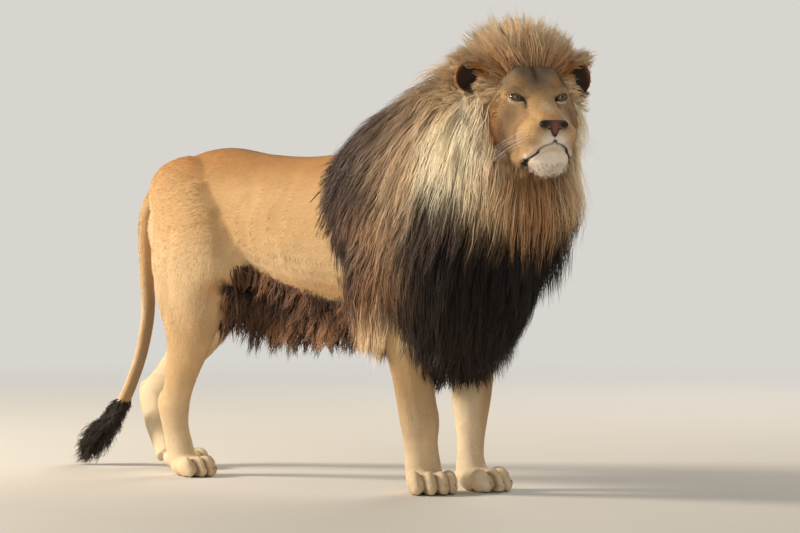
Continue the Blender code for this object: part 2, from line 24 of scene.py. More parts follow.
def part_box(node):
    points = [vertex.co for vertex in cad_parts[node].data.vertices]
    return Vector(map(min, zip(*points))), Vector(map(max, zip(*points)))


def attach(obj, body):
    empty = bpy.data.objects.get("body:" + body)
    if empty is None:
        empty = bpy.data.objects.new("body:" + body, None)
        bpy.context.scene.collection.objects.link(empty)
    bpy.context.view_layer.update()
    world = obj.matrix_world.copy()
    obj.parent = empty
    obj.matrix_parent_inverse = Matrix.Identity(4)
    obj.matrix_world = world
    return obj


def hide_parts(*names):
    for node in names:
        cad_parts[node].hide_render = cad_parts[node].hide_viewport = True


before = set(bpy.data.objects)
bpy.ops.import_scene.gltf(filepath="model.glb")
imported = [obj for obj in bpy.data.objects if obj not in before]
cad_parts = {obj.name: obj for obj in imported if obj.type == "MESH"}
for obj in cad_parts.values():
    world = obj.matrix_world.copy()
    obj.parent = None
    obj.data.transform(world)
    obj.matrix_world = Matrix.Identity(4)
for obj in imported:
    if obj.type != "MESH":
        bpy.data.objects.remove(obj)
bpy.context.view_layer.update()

LOG = logging.getLogger("lion")

Array = np.ndarray
Object = bpy.types.Object
Mesh = bpy.types.Mesh
Material = bpy.types.Material
Tree = bpy.types.NodeTree
BMesh = bmesh.types.BMesh
Path = Sequence[Sequence[float]]
Lie = Callable[[Array, Array], Array]      # the hair's way at places and normals
Measure = Callable[[Array], Array]         # a number for each root

# ------------------------------------------------------------ driving sizes
COAT_DEPTH = 0.005                        # from the skin to the tips of the short coat
RUMP_Z = 0.835
CHEST_Z = 0.765
HEAD_AT = Vector((0.969, -0.14, 1.148))   # midway between the eyes
HEAD_HEADING = math.radians(-37.0)
HEAD_PITCH = math.radians(-3.0)
EYE_AT = Vector((-0.017, 0.066, 0.0))     # the left eye, in the head's frame
EYE_RADIUS = 0.0185
EAR_AT = Vector((-0.148, 0.154, 0.066))   # the left ear, in the head's frame
EAR_TURN = math.radians(32)
PATCH = 0.003                             # how far one tuft reaches on the OFBake map
MANE_HALF_WIDTH = 0.3                   # beyond it the locks lie closer


class Side(Enum):
    """The two sides of the animal, as the sign of Y."""

    RIGHT = -1
    LEFT = 1


TRUNK = [
    (-0.612, 0, RUMP_Z - 0.005, 0.055, 0.07), (-0.56, 0, RUMP_Z, 0.1, 0.118),
    (-0.45, 0, RUMP_Z, 0.138, 0.148), (-0.33, 0, RUMP_Z, 0.15, 0.178),
    (-0.18, 0, 0.805, 0.158, 0.19), (0.0, 0, CHEST_Z + 0.005, 0.18, 0.218),
    (0.15, 0, CHEST_Z - 0.005, 0.195, 0.238), (0.3, 0, CHEST_Z, 0.2, 0.262),
    (0.45, 0, CHEST_Z + 0.015, 0.185, 0.262), (0.58, 0, CHEST_Z + 0.035, 0.15, 0.21),
    (0.66, 0, CHEST_Z + 0.055, 0.09, 0.12),
]
HIND_LEGS = {
    Side.RIGHT: [
        (-0.4, -0.1, 0.86, 0.085, 0.13), (-0.36, -0.115, 0.75, 0.09, 0.172),
        (-0.345, -0.13, 0.65, 0.085, 0.175), (-0.35, -0.14, 0.56, 0.072, 0.148),
        (-0.356, -0.145, 0.48, 0.06, 0.116), (-0.37, -0.14, 0.41, 0.052, 0.088),
        (-0.398, -0.13, 0.34, 0.045, 0.067), (-0.428, -0.12, 0.27, 0.041, 0.056),
        (-0.45, -0.115, 0.21, 0.041, 0.06), (-0.45, -0.108, 0.15, 0.038, 0.051),
        (-0.442, -0.102, 0.1, 0.04, 0.05), (-0.43, -0.1, 0.045, 0.046, 0.055),
    ],
    Side.LEFT: [
        (-0.42, 0.1, 0.86, 0.085, 0.13), (-0.43, 0.115, 0.75, 0.09, 0.155),
        (-0.46, 0.13, 0.65, 0.085, 0.145), (-0.5, 0.14, 0.56, 0.072, 0.125),
        (-0.535, 0.145, 0.48, 0.06, 0.1), (-0.58, 0.14, 0.41, 0.052, 0.08),
        (-0.64, 0.13, 0.34, 0.045, 0.063), (-0.7, 0.12, 0.275, 0.041, 0.054),
        (-0.738, 0.11, 0.22, 0.041, 0.058), (-0.72, 0.098, 0.15, 0.038, 0.05),
        (-0.685, 0.088, 0.1, 0.04, 0.05), (-0.645, 0.08, 0.045, 0.046, 0.055),
    ],
}
FORE_LEGS = {
    Side.RIGHT: [
        (0.43, -0.14, 0.7, 0.08, 0.13), (0.445, -0.15, 0.6, 0.082, 0.105),
        (0.485, -0.14, 0.48, 0.075, 0.085), (0.497, -0.125, 0.36, 0.066, 0.068),
        (0.502, -0.112, 0.27, 0.062, 0.063), (0.505, -0.1, 0.21, 0.061, 0.064),
        (0.502, -0.09, 0.145, 0.053, 0.056), (0.502, -0.082, 0.085, 0.057, 0.058),
        (0.508, -0.08, 0.04, 0.06, 0.06),
    ],
    Side.LEFT: [
        (0.43, 0.14, 0.7, 0.08, 0.13), (0.45, 0.15, 0.6, 0.082, 0.105),
        (0.5, 0.14, 0.48, 0.075, 0.085), (0.525, 0.125, 0.36, 0.067, 0.072),
        (0.532, 0.112, 0.27, 0.061, 0.065), (0.54, 0.1, 0.205, 0.052, 0.055),
        (0.548, 0.088, 0.14, 0.044, 0.046), (0.555, 0.078, 0.09, 0.045, 0.047),
        (0.565, 0.072, 0.04, 0.055, 0.058),
    ],
}
TAIL = [
    (-0.49, 0, 0.905, 0.044, 0.048), (-0.575, 0, 0.885, 0.04, 0.044),
    (-0.64, 0, 0.84, 0.031, 0.034), (-0.672, 0, 0.76, 0.027, 0.029),
    (-0.67, 0, 0.615, 0.025, 0.026), (-0.664, 0, 0.505, 0.024, 0.025),
    (-0.682, 0, 0.403, 0.023, 0.024), (-0.713, 0, 0.315, 0.022, 0.023),
    (-0.763, 0, 0.22, 0.023, 0.023), (-0.808, 0, 0.164, 0.024, 0.024),
    (-0.855, -0.004, 0.116, 0.024, 0.024), (-0.886, -0.01, 0.08, 0.02, 0.02),
    (-0.908, -0.018, 0.052, 0.01, 0.01),
]
TAIL_LINE = [row[:3] for row in TAIL[1:]]      # its middle line, behind the rump
# The mass of the mane under its locks: neck stations, and the bib's rings as
# (height, middle x, half length along the body, half width across).
MANE_NECK = [
    (0.15, 0.0, 0.8, 0.15, 0.165), (0.238, 0.0, 0.8, 0.182, 0.228),
    (0.345, 0.0, 0.812, 0.228, 0.272), (0.48, -0.005, 0.85, 0.256, 0.29),
    (0.7, -0.03, 0.99, 0.222, 0.262), (0.85, -0.08, 1.08, 0.16, 0.195),
]
MANE_BIB = [
    (1.0, 0.68, 0.195, 0.22), (0.85, 0.65, 0.24, 0.255), (0.65, 0.575, 0.232, 0.245),
    (0.5, 0.548, 0.195, 0.205), (0.42, 0.545, 0.15, 0.165), (0.375, 0.545, 0.09, 0.11),
]
FLANK_FRINGE = [
    (-0.235, 0.15, 0.65, 0.01, 0.012), (-0.235, 0.15, 0.6, 0.02, 0.03),
    (-0.225, 0.125, 0.555, 0.024, 0.042), (-0.19, 0.07, 0.525, 0.035, 0.048),
]
BELLY_FRINGE = [
    (-0.33, 0.0, 0.6, 0.03, 0.035), (-0.26, 0.0, 0.565, 0.055, 0.05),
    (-0.15, 0.0, 0.53, 0.06, 0.065), (0.0, 0.0, 0.505, 0.055, 0.055),
    (0.13, 0.0, 0.495, 0.055, 0.045), (0.25, 0.0, 0.49, 0.055, 0.045),
    (0.4, 0.0, 0.49, 0.055, 0.045),
]

# The head's sections from back to front, in its own frame: (forward, top, and then for
# three corners of the left half the distance out and the height, and the bottom).
HEAD_SECTIONS = [
    (-0.24, 0.05, 0.05, 0.035, 0.085, -0.03, 0.06, -0.1, -0.12),
    (-0.2, 0.085, 0.065, 0.065, 0.112, -0.015, 0.085, -0.12, -0.165),
    (-0.15, 0.106, 0.07, 0.086, 0.128, -0.005, 0.1, -0.125, -0.19),
    (-0.1, 0.106, 0.07, 0.086, 0.13, -0.025, 0.1, -0.13, -0.2),
    (-0.06, 0.086, 0.066, 0.068, 0.12, -0.04, 0.092, -0.14, -0.204),
    (-0.03, 0.054, 0.06, 0.044, 0.106, -0.052, 0.084, -0.145, -0.204),
    (0.0, 0.02, 0.047, 0.004, 0.093, -0.062, 0.076, -0.148, -0.202),
    (0.04, -0.01, 0.04, -0.025, 0.08, -0.082, 0.07, -0.15, -0.198),
    (0.08, -0.031, 0.037, -0.043, 0.074, -0.1, 0.064, -0.15, -0.188),
    (0.11, -0.045, 0.035, -0.056, 0.07, -0.106, 0.056, -0.148, -0.168),
    (0.132, -0.058, 0.03, -0.068, 0.058, -0.108, 0.044, -0.14, -0.152),
    (0.147, -0.074, 0.016, -0.08, 0.034, -0.11, 0.024, -0.132, -0.138),
]
# Lines on the face, on its left half and in the head's frame.
LIP_LINE = ((0.148, 0.0, -0.138), (0.141, 0.02, -0.145), (0.122, 0.04, -0.158),
            (0.095, 0.054, -0.173), (0.066, 0.062, -0.187))
LIP_CORNER = ((0.066, 0.062, -0.187), (0.048, 0.066, -0.193))
PHILTRUM = ((0.154, 0.0, -0.102), (0.15, 0.0, -0.138))
TEAR_LINE = ((-0.001, 0.048, -0.007), (0.014, 0.041, -0.02), (0.026, 0.04, -0.034))
BROW = ((-0.002, 0.034, 0.018), (-0.01, 0.058, 0.026), (-0.032, 0.086, 0.018))
LID_FOLD = ((0.002, 0.046, 0.006), (-0.002, 0.064, 0.017), (-0.014, 0.085, 0.012))
UNDER_EYE = ((0.01, 0.052, -0.018), (-0.002, 0.072, -0.022), (-0.02, 0.09, -0.01))
UNDER_LID = ((0.006, 0.049, -0.0145), (0.0, 0.066, -0.014), (-0.012, 0.083, -0.007))
MUZZLE_FOLD = ((0.07, 0.06, -0.06), (0.04, 0.078, -0.09), (0.026, 0.08, -0.125),
               (0.034, 0.074, -0.165))
BRIDGE_SIDE = ((0.115, 0.04, -0.07), (0.06, 0.048, -0.05), (0.022, 0.045, -0.026))
FOREHEAD_LINE = ((-0.01, 0.0, 0.03), (-0.06, 0.0, 0.09))
CHEEKBONE = ((-0.02, 0.098, -0.04), (-0.07, 0.125, -0.035))
# The rows of whiskers on the pads: (height, how many).
PAD_ROWS = ((-0.097, 4), (-0.106, 5), (-0.115, 6), (-0.124, 6), (-0.133, 5))
SLOT_HALF, SLOT_RISE, SLOT_DROP, SLOT_SLANT = 0.0205, 0.0076, 0.008, 0.006
EYE_RIM = tuple(
    (EYE_AT.x + EYE_RADIUS * 0.9, EYE_AT.y + SLOT_HALF * math.cos(a),
     math.sin(a) * (SLOT_RISE if math.sin(a) > 0 else SLOT_DROP) * (1 - 0.35 * math.cos(a) ** 2)
     + SLOT_SLANT * math.cos(a))
    for a in np.linspace(0, 2 * math.pi, 25))
# The sculptor's strokes over the face: the line, its reach and how far it raises the skin.
STROKES = [
    (LIP_LINE, 0.003, -0.006), (LIP_CORNER, 0.0055, -0.005), (PHILTRUM, 0.0026, -0.004),
    (tuple((f - 0.002, l, u + 0.01) for f, l, u in LIP_LINE), 0.007, 0.003),
    (tuple((f - 0.006, l * 0.92, u - 0.01) for f, l, u in LIP_LINE), 0.006, 0.002),
    (TEAR_LINE, 0.005, -0.003), (((0.006, 0.046, -0.012),), 0.013, -0.004),
    (BROW, 0.01, 0.0038), (LID_FOLD, 0.003, -0.002), (UNDER_EYE, 0.0035, -0.0018),
    (MUZZLE_FOLD, 0.009, -0.0055), (BRIDGE_SIDE, 0.009, -0.003),
    (FOREHEAD_LINE, 0.011, -0.0045), (CHEEKBONE, 0.016, 0.0035),
    (((-0.045, 0.05, 0.06),), 0.022, 0.004),
    (((0.122, 0.0, -0.165), (0.118, 0.0, -0.2)), 0.007, -0.002),
]

BODY_STROKES = [
    (((-0.235, 0.15, 0.8), (-0.212, 0.16, 0.7), (-0.235, 0.14, 0.6)), 0.022, -0.009),
    (((-0.4, 0.085, 0.94),), 0.045, 0.006),
    (((-0.31, 0.15, 0.86), (-0.28, 0.17, 0.74)), 0.03, 0.004),
    (((-0.5, 0.1, 0.88), (-0.52, 0.115, 0.74)), 0.02, -0.004),
    *[(((x, 0.15, 0.88), (x - 0.06, 0.18, 0.66)), 0.013, 0.0018)
      for x in (-0.12, -0.05, 0.02, 0.09)],
]


@dataclass(frozen=True)
class Paw:
    """One paw: the middle of its sole, its heading in degrees and its size."""

    middle: Vector
    heading: float
    width: float
    length: float
    height: float

    def place(self) -> Matrix:
        """The paw's own frame: x to the toes, origin on the floor."""
        turn = Matrix.Rotation(math.radians(self.heading), 4, "Z")
        return Matrix.Translation(self.middle) @ turn


PAWS = {
    ("hind", Side.RIGHT): Paw(Vector((-0.385, -0.105, 0)), -8, 0.125, 0.17, 0.072),
    ("hind", Side.LEFT): Paw(Vector((-0.58, 0.082, 0)), 4, 0.125, 0.17, 0.072),
    ("fore", Side.RIGHT): Paw(Vector((0.545, -0.105, 0)), -30, 0.155, 0.17, 0.078),
    ("fore", Side.LEFT): Paw(Vector((0.61, 0.072, 0)), 5, 0.15, 0.17, 0.078),
}
TOES = ((-0.72, 0.22), (-0.26, 0.5), (0.26, 0.5), (0.72, 0.22))  # (lateral, forward)


# ------------------------------------------------------------------ frames
def head_place() -> Matrix:
    """The head's own frame: x forward, y left, z up, origin between the eyes."""
    turn = Matrix.Rotation(HEAD_HEADING, 4, "Z") @ Matrix.Rotation(HEAD_PITCH, 4, "Y")
    return Matrix.Translation(HEAD_AT) @ turn


def shift_to_solids() -> Vector:
    """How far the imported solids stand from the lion's own frame."""
    low_left, high_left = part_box("eye_left")
    low_right, high_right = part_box("eye_right")
    middle = (low_left + high_left + low_right + high_right) / 4
    return middle - head_place() @ Vector((EYE_AT.x, 0, EYE_AT.z))


def ear_place(side: Side) -> Matrix:
    """The frame of an ear: x out of its mouth, z towards its tip."""
    at = Matrix.Translation((EAR_AT.x, side.value * EAR_AT.y, EAR_AT.z))
    return head_place() @ at @ Matrix.Rotation(side.value * EAR_TURN, 4, "Z")


def in_frame(points: Array, place: Matrix) -> Array:
    """World points, one a row, as coordinates of a frame."""
    inverse = np.array(place.inverted())
    return points @ inverse[:3, :3].T + inverse[:3, 3]


def in_head(points: Array) -> Array:
    """World points, one a row, in the head's frame."""
    return in_frame(points, head_place())


def in_ears(points: Array) -> list[tuple[Side, Array, Array]]:
    """For each ear its side, the points in its frame and how far each is from it."""
    seen = [(side, in_frame(points, ear_place(side))) for side in Side]
    return [(side, local, norm(local)) for side, local in seen]


def turned(vectors: Array, place: Matrix | None = None) -> Array:
    """Directions in a frame, the head's where none is given, as world directions."""
    place = head_place() if place is None else place
    return vectors @ np.array(place.to_3x3()).T


# -------------------------------------------------------------- small maths
def ramp(low: float, high: float, value: Array) -> Array:
    """0 below low, 1 above high and smooth between; low may be the larger."""
    t = np.clip((value - low) / (high - low), 0.0, 1.0)
    return t * t * (3 - 2 * t)


def bell(value: Array, reach: float, middle: float = 0.0) -> Array:
    """1 at the middle, falling to nothing a little beyond the reach."""
    return np.exp(-((value - middle) / reach) ** 2)


def norm(vectors: Array) -> Array:
    """The length of each row."""
    return np.linalg.norm(vectors, axis=1)


def unit(vectors: Array) -> Array:
    """The vectors at length one."""
    return vectors / np.maximum(np.linalg.norm(vectors, axis=-1, keepdims=True), 1e-9)


def mixed(first: Array, second: Array, share: Array) -> Array:
    """Rows of the first, passing to the second by each row's share."""
    return first * (1 - share[:, None]) + second * share[:, None]


def each(row: Sequence[float], points: Array) -> Array:
    """The same row for each of the points."""
    return np.tile(row, (len(points), 1))


def always(value: float) -> Measure:
    """A measure that is the same at every root."""
    return lambda roots: np.full(len(roots), value)


def along_surface(vectors: Array, normals: Array) -> Array:
    """The part of each vector that lies along the surface."""
    return vectors - normals * np.sum(vectors * normals, axis=-1, keepdims=True)


def soft_noise(points: Array, scale: float, seed: int) -> Array:
    """Smooth waves from -1 to 1 that change over about 1 / scale metres.

    Args:
        points: where the waves are read, one point a row.
        scale: waves to a metre.
        seed: picks the waves' directions.

    Returns:
        One value for each point.
    """
    rng = np.random.default_rng(seed)
    total = np.zeros(len(points))
    for _ in range(6):
        direction = unit(rng.normal(size=3)) * scale * rng.uniform(0.6, 1.5)
        total += np.sin(points @ direction * 2 * math.pi + rng.uniform(0, 2 * math.pi))
    return total / 3.4


def distance_to(points: Array, path: Path) -> Array:
    """How far each point is from a line of one or more places.

    Args:
        points: places, one a row.
        path: the line's places.

    Returns:
        One distance for each point.
    """
    rows = np.array(path, float)
    best = np.linalg.norm(points - rows[0], axis=1)
    for start, end in zip(rows, rows[1:]):
        way = end - start
        share = np.clip((points - start) @ way / max(way @ way, 1e-12), 0, 1)
        gap = np.linalg.norm(points - start - share[:, None] * way, axis=1)
        best = np.minimum(best, gap)
    return best


def pressed(path: Path, tree: BVHTree,
            place: Matrix | None = None, parts: int = 6) -> list[Vector]:
    """A line brought onto a surface.

    Args:
        path: the line's places, in a frame.
        tree: the surface, in the lion's frame.
        place: the line's frame; the head's where none is given.
        parts: into how many parts each stretch is divided first.

    Returns:
        The line's places on the surface, in the same frame.
    """
    place = head_place() if place is None else place
    inverse = place.inverted()
    fine = [Vector(a).lerp(Vector(b), k / parts)
            for a, b in zip(path, path[1:]) for k in range(parts)]
    fine.append(Vector(path[-1]))
    return [inverse @ tree.find_nearest(place @ at)[0] for at in fine]


def surface(obj: Object) -> BVHTree:
    """What finds places on an object."""
    return BVHTree.FromObject(obj, bpy.context.evaluated_depsgraph_get())


def carve(obj: Object, strokes: Sequence[tuple], place: Matrix) -> None:
    """Works strokes into both halves of a surface.

    Args:
        obj: the object to carve.
        strokes: lines on the left half, each with its reach and how far it raises the skin.
        place: the frame of the lines.
    """
    points, tree = positions(obj.data), surface(obj)
    local = in_frame(points, place)
    local[:, 1] = np.abs(local[:, 1])
    rise = np.zeros(len(points))
    for path, reach, height in strokes:
        rise += height * bell(distance_to(local, pressed(path, tree, place)), reach)
    set_positions(obj.data, points + normals_of(obj.data) * rise[:, None])


# ----------------------------------------------------------------- meshing
def between_stations(stations: Path, steps: int) -> Array:
    """The stations with `steps` more between each two, on a Catmull-Rom curve."""
    rows = np.array(stations, float)
    padded = np.vstack([2 * rows[0] - rows[1], rows, 2 * rows[-1] - rows[-2]])
    result = []
    for i in range(1, len(padded) - 2):
        p0, p1, p2, p3 = padded[i - 1:i + 3]
        for k in range(steps):
            t = k / steps
            linear = (p2 - p0) * t
            square = (2 * p0 - 5 * p1 + 4 * p2 - p3) * t ** 2
            cube = (3 * p1 - p0 - 3 * p2 + p3) * t ** 3
            result.append(0.5 * (2 * p1 + linear + square + cube))
    result.append(rows[-1])
    return np.array(result)


def skin_rings(bm: BMesh, rings: list[list[bmesh.types.BMVert]]) -> None:
    """Joins rings of vertices into a closed tube with a fan at each end."""
    count = len(rings[0])
    for lower, upper in zip(rings, rings[1:]):
        for i in range(count):
            j = (i + 1) % count
            bm.faces.new((lower[i], lower[j], upper[j], upper[i]))
    for ring, outward in ((rings[0], False), (rings[-1], True)):
        tip = bm.verts.new(sum((v.co for v in ring), Vector()) / count)
        for i in range(count):
            first, second = ring[i], ring[(i + 1) % count]
            bm.faces.new((first, second, tip) if outward else (second, first, tip))


def turns(count: int) -> list[float]:
    """So many angles, evenly round a circle."""
    return [2 * math.pi * k / count for k in range(count)]


def loft(bm: BMesh, stations: Path, sides: int = 24, steps: int = 5,
         inside: float = 0.0) -> None:
    """A tube through stations of (x, y, z, half width across, half width in the bend).

    Args:
        bm: the mesh that gets the tube.
        stations: the tube's stations, end to end.
        sides: vertices round the tube.
        steps: rings between two stations.
        inside: how much thinner than the stations the tube is.
    """
    rows = between_stations(stations, steps)
    rings = []
    for i, row in enumerate(rows):
        before, after = rows[max(i - 1, 0)], rows[min(i + 1, len(rows) - 1)]
        along = Vector(after[:3] - before[:3]).normalized()
        across = (Vector((0, 1, 0)) - along * along.y).normalized()
        bend = across.cross(along)
        wide, deep = max(row[3] - inside, 0.002), max(row[4] - inside, 0.002)
        rings.append([bm.verts.new(Vector(row[:3]) + (across * math.cos(angle) * wide
                                                      + bend * math.sin(angle) * deep))
                      for angle in turns(sides)])
    skin_rings(bm, rings)


def ellipsoid(bm: BMesh, centre: Sequence[float], radii: Sequence[float],
              turn: Sequence[float] = (0, 0, 0), place: Matrix = Matrix(),
              fineness: int = 4) -> None:
    """An ellipsoid; turn is its own rotation in degrees, place the frame it is in."""
    rotation = Euler([math.radians(a) for a in turn]).to_matrix().to_4x4()
    matrix = place @ Matrix.Translation(centre) @ rotation @ Matrix.Diagonal((*radii, 1))
    bmesh.ops.create_icosphere(bm, subdivisions=fineness, radius=1, matrix=matrix)


def new_object(name: str, mesh: Mesh) -> Object:
    """Links the mesh into the scene as an object."""
    obj = bpy.data.objects.new(name, mesh)
    bpy.context.scene.collection.objects.link(obj)
    return obj


def pour(bm: BMesh, obj: Object) -> None:
    """Moves an object's mesh into the bmesh."""
    bm.from_mesh(obj.data)
    discard(obj)


def from_bmesh(name: str, bm: BMesh) -> Object:
    """Turns the bmesh into an object whose faces point outwards."""
    bmesh.ops.recalc_face_normals(bm, faces=bm.faces)
    mesh = bpy.data.meshes.new(name)
    bm.to_mesh(mesh)
    bm.free()
    return new_object(name, mesh)


def apply_modifiers(obj: Object) -> None:
    """Replaces the object's mesh by what its modifiers make of it."""
    bpy.context.view_layer.update()
    graph = bpy.context.evaluated_depsgraph_get()
    made = bpy.data.meshes.new_from_object(obj.evaluated_get(graph))
    old = obj.data
    obj.modifiers.clear()
    obj.data = made
    bpy.data.meshes.remove(old)


def remesh(obj: Object, voxel: float, smoothing: int) -> None:
    """Fuses the object's overlapping shapes into one skin and softens it."""
    fuse = obj.modifiers.new("Fuse", "REMESH")
    fuse.mode = "VOXEL"
    fuse.voxel_size = voxel
    if smoothing:
        soften = obj.modifiers.new("Soften", "SMOOTH")
        soften.factor = 0.5
        soften.iterations = smoothing
    apply_modifiers(obj)


def thin(obj: Object, triangles: int, keep: Array | None = None) -> None:
    """Brings the object down to about so many triangles.

    Args:
        obj: the object, a mesh.
        triangles: how many to leave.
        keep: for each vertex, 0 to 1, how much its surroundings are spared.
    """
    modifier = obj.modifiers.new("Thin", "DECIMATE")
    count = sum(len(face.vertices) - 2 for face in obj.data.polygons)
    modifier.ratio = min(1.0, triangles / count)
    if keep is not None:
        group = obj.vertex_groups.new(name="thin_here")
        for level in range(11):
            chosen = np.nonzero(np.round((1 - keep) * 10) == level)[0]
            if len(chosen):
                group.add(chosen.tolist(), level / 10, "REPLACE")
        modifier.vertex_group = group.name
        modifier.vertex_group_factor = 6.0
    apply_modifiers(obj)


def combine(obj: Object, other: Object, operation: str) -> None:
    """A Boolean of the object with the other, which is then removed."""
    cut = obj.modifiers.new("Combine", "BOOLEAN")
    cut.solver = "MANIFOLD"
    cut.operation = operation
    cut.object = other
    apply_modifiers(obj)
    discard(other)


def discard(obj: Object) -> None:
    """Removes a helper object and its mesh."""
    mesh = obj.data
    bpy.data.objects.remove(obj)
    bpy.data.meshes.remove(mesh)

KINDS = {"FLOAT": (1, "value"), "FLOAT_VECTOR": (3, "vector"), "FLOAT_COLOR": (4, "color")}


def fetched(rows: Sequence, word: str, width: int) -> Array:
    """A number or a vector of each element of a mesh."""
    flat = np.empty(len(rows) * width, np.float32)
    rows.foreach_get(word, flat)
    return flat if width == 1 else flat.reshape(-1, width)


def positions(mesh: Mesh) -> Array:
    """The mesh's vertices, one a row."""
    return fetched(mesh.vertices, "co", 3).astype(float)


def normals_of(mesh: Mesh) -> Array:
    """The mesh's vertex normals, one a row."""
    return fetched(mesh.vertex_normals, "vector", 3).astype(float)


def read_values(mesh: Mesh, name: str) -> Array:
    """An attribute's number, or its vector or colour, for each vertex."""
    attribute = mesh.attributes[name]
    width, word = KINDS[attribute.data_type]
    return fetched(attribute.data, word, width)


def triangles_of(mesh: Mesh) -> tuple[Array, Array]:
    """The corners of the mesh's triangles, and twice the area of each."""
    mesh.calc_loop_triangles()
    corners = np.empty(len(mesh.loop_triangles) * 3, np.int32)
    mesh.loop_triangles.foreach_get("vertices", corners)
    corners = corners.reshape(-1, 3)
    a, b, c = (positions(mesh)[corners[:, k]] for k in range(3))
    return corners, norm(np.cross(b - a, c - a))


def set_positions(mesh: Mesh, points: Array) -> None:
    """Moves the mesh's vertices to the points."""
    mesh.vertices.foreach_set("co", points.astype(np.float32).ravel())
    mesh.update()


def store(mesh: Mesh, **named: Array) -> None:
    """Keeps numbers, vectors or colours on the vertices, by the width of the values."""
    for name, values in named.items():
        width = 1 if values.ndim == 1 else values.shape[1]
        kind = next(kind for kind, row in KINDS.items() if row[0] == width)
        attribute = mesh.attributes.new(name, kind, "POINT")
        attribute.data.foreach_set(KINDS[kind][1], values.astype(np.float32).ravel())


def widened(rows: Array, value: float) -> Array:
    """The rows with one more column."""
    return np.column_stack([rows, np.full(len(rows), value)])


def bare_object(name: str, vertices: Array, edges: Array, faces: Array) -> Object:
    """An object from plain arrays of vertices, edges and triangles."""
    mesh = bpy.data.meshes.new(name)
    mesh.from_pydata(vertices.tolist(), edges.tolist(), faces.tolist())
    return new_object(name, mesh)


def wear(obj: Object, material: Material, smooth: bool = True) -> Object:
    """Gives the object its only material, and smooth shading where wanted."""
    obj.data.materials.clear()
    obj.data.materials.append(material)
    if smooth:
        obj.data.shade_smooth()
    return obj


# ------------------------------------------------------------------- nodes
class Wire:
    """A node's output with Python's operators: each one adds a Math node."""

    def __init__(self, tree: Tree, socket: bpy.types.NodeSocket) -> None:
        """Wraps one output socket of a tree."""
        self.tree = tree
        self.socket = socket

    def _math(self, operation: str, *values: "Wire | float") -> "Wire":
        """One Math node on the values, as a wire."""
        return Weaver(self.tree).node("ShaderNodeMath", {"operation": operation},
                                      dict(enumerate(values)))

    def __add__(self, other: "Wire | float") -> "Wire":
        """This plus the other."""
        return self._math("ADD", self, other)

    def __radd__(self, other: float) -> "Wire":
        """A number plus this."""
        return self._math("ADD", other, self)

    def __sub__(self, other: "Wire | float") -> "Wire":
        """This less the other."""
        return self._math("SUBTRACT", self, other)

    def __rsub__(self, other: float) -> "Wire":
        """A number less this."""
        return self._math("SUBTRACT", other, self)

    def __mul__(self, other: "Wire | float") -> "Wire":
        """This times the other."""
        return self._math("MULTIPLY", self, other)

    def __rmul__(self, other: float) -> "Wire":
        """A number times this."""
        return self._math("MULTIPLY", other, self)

    def __pow__(self, other: float) -> "Wire":
        """This to a power."""
        return self._math("POWER", self, other)


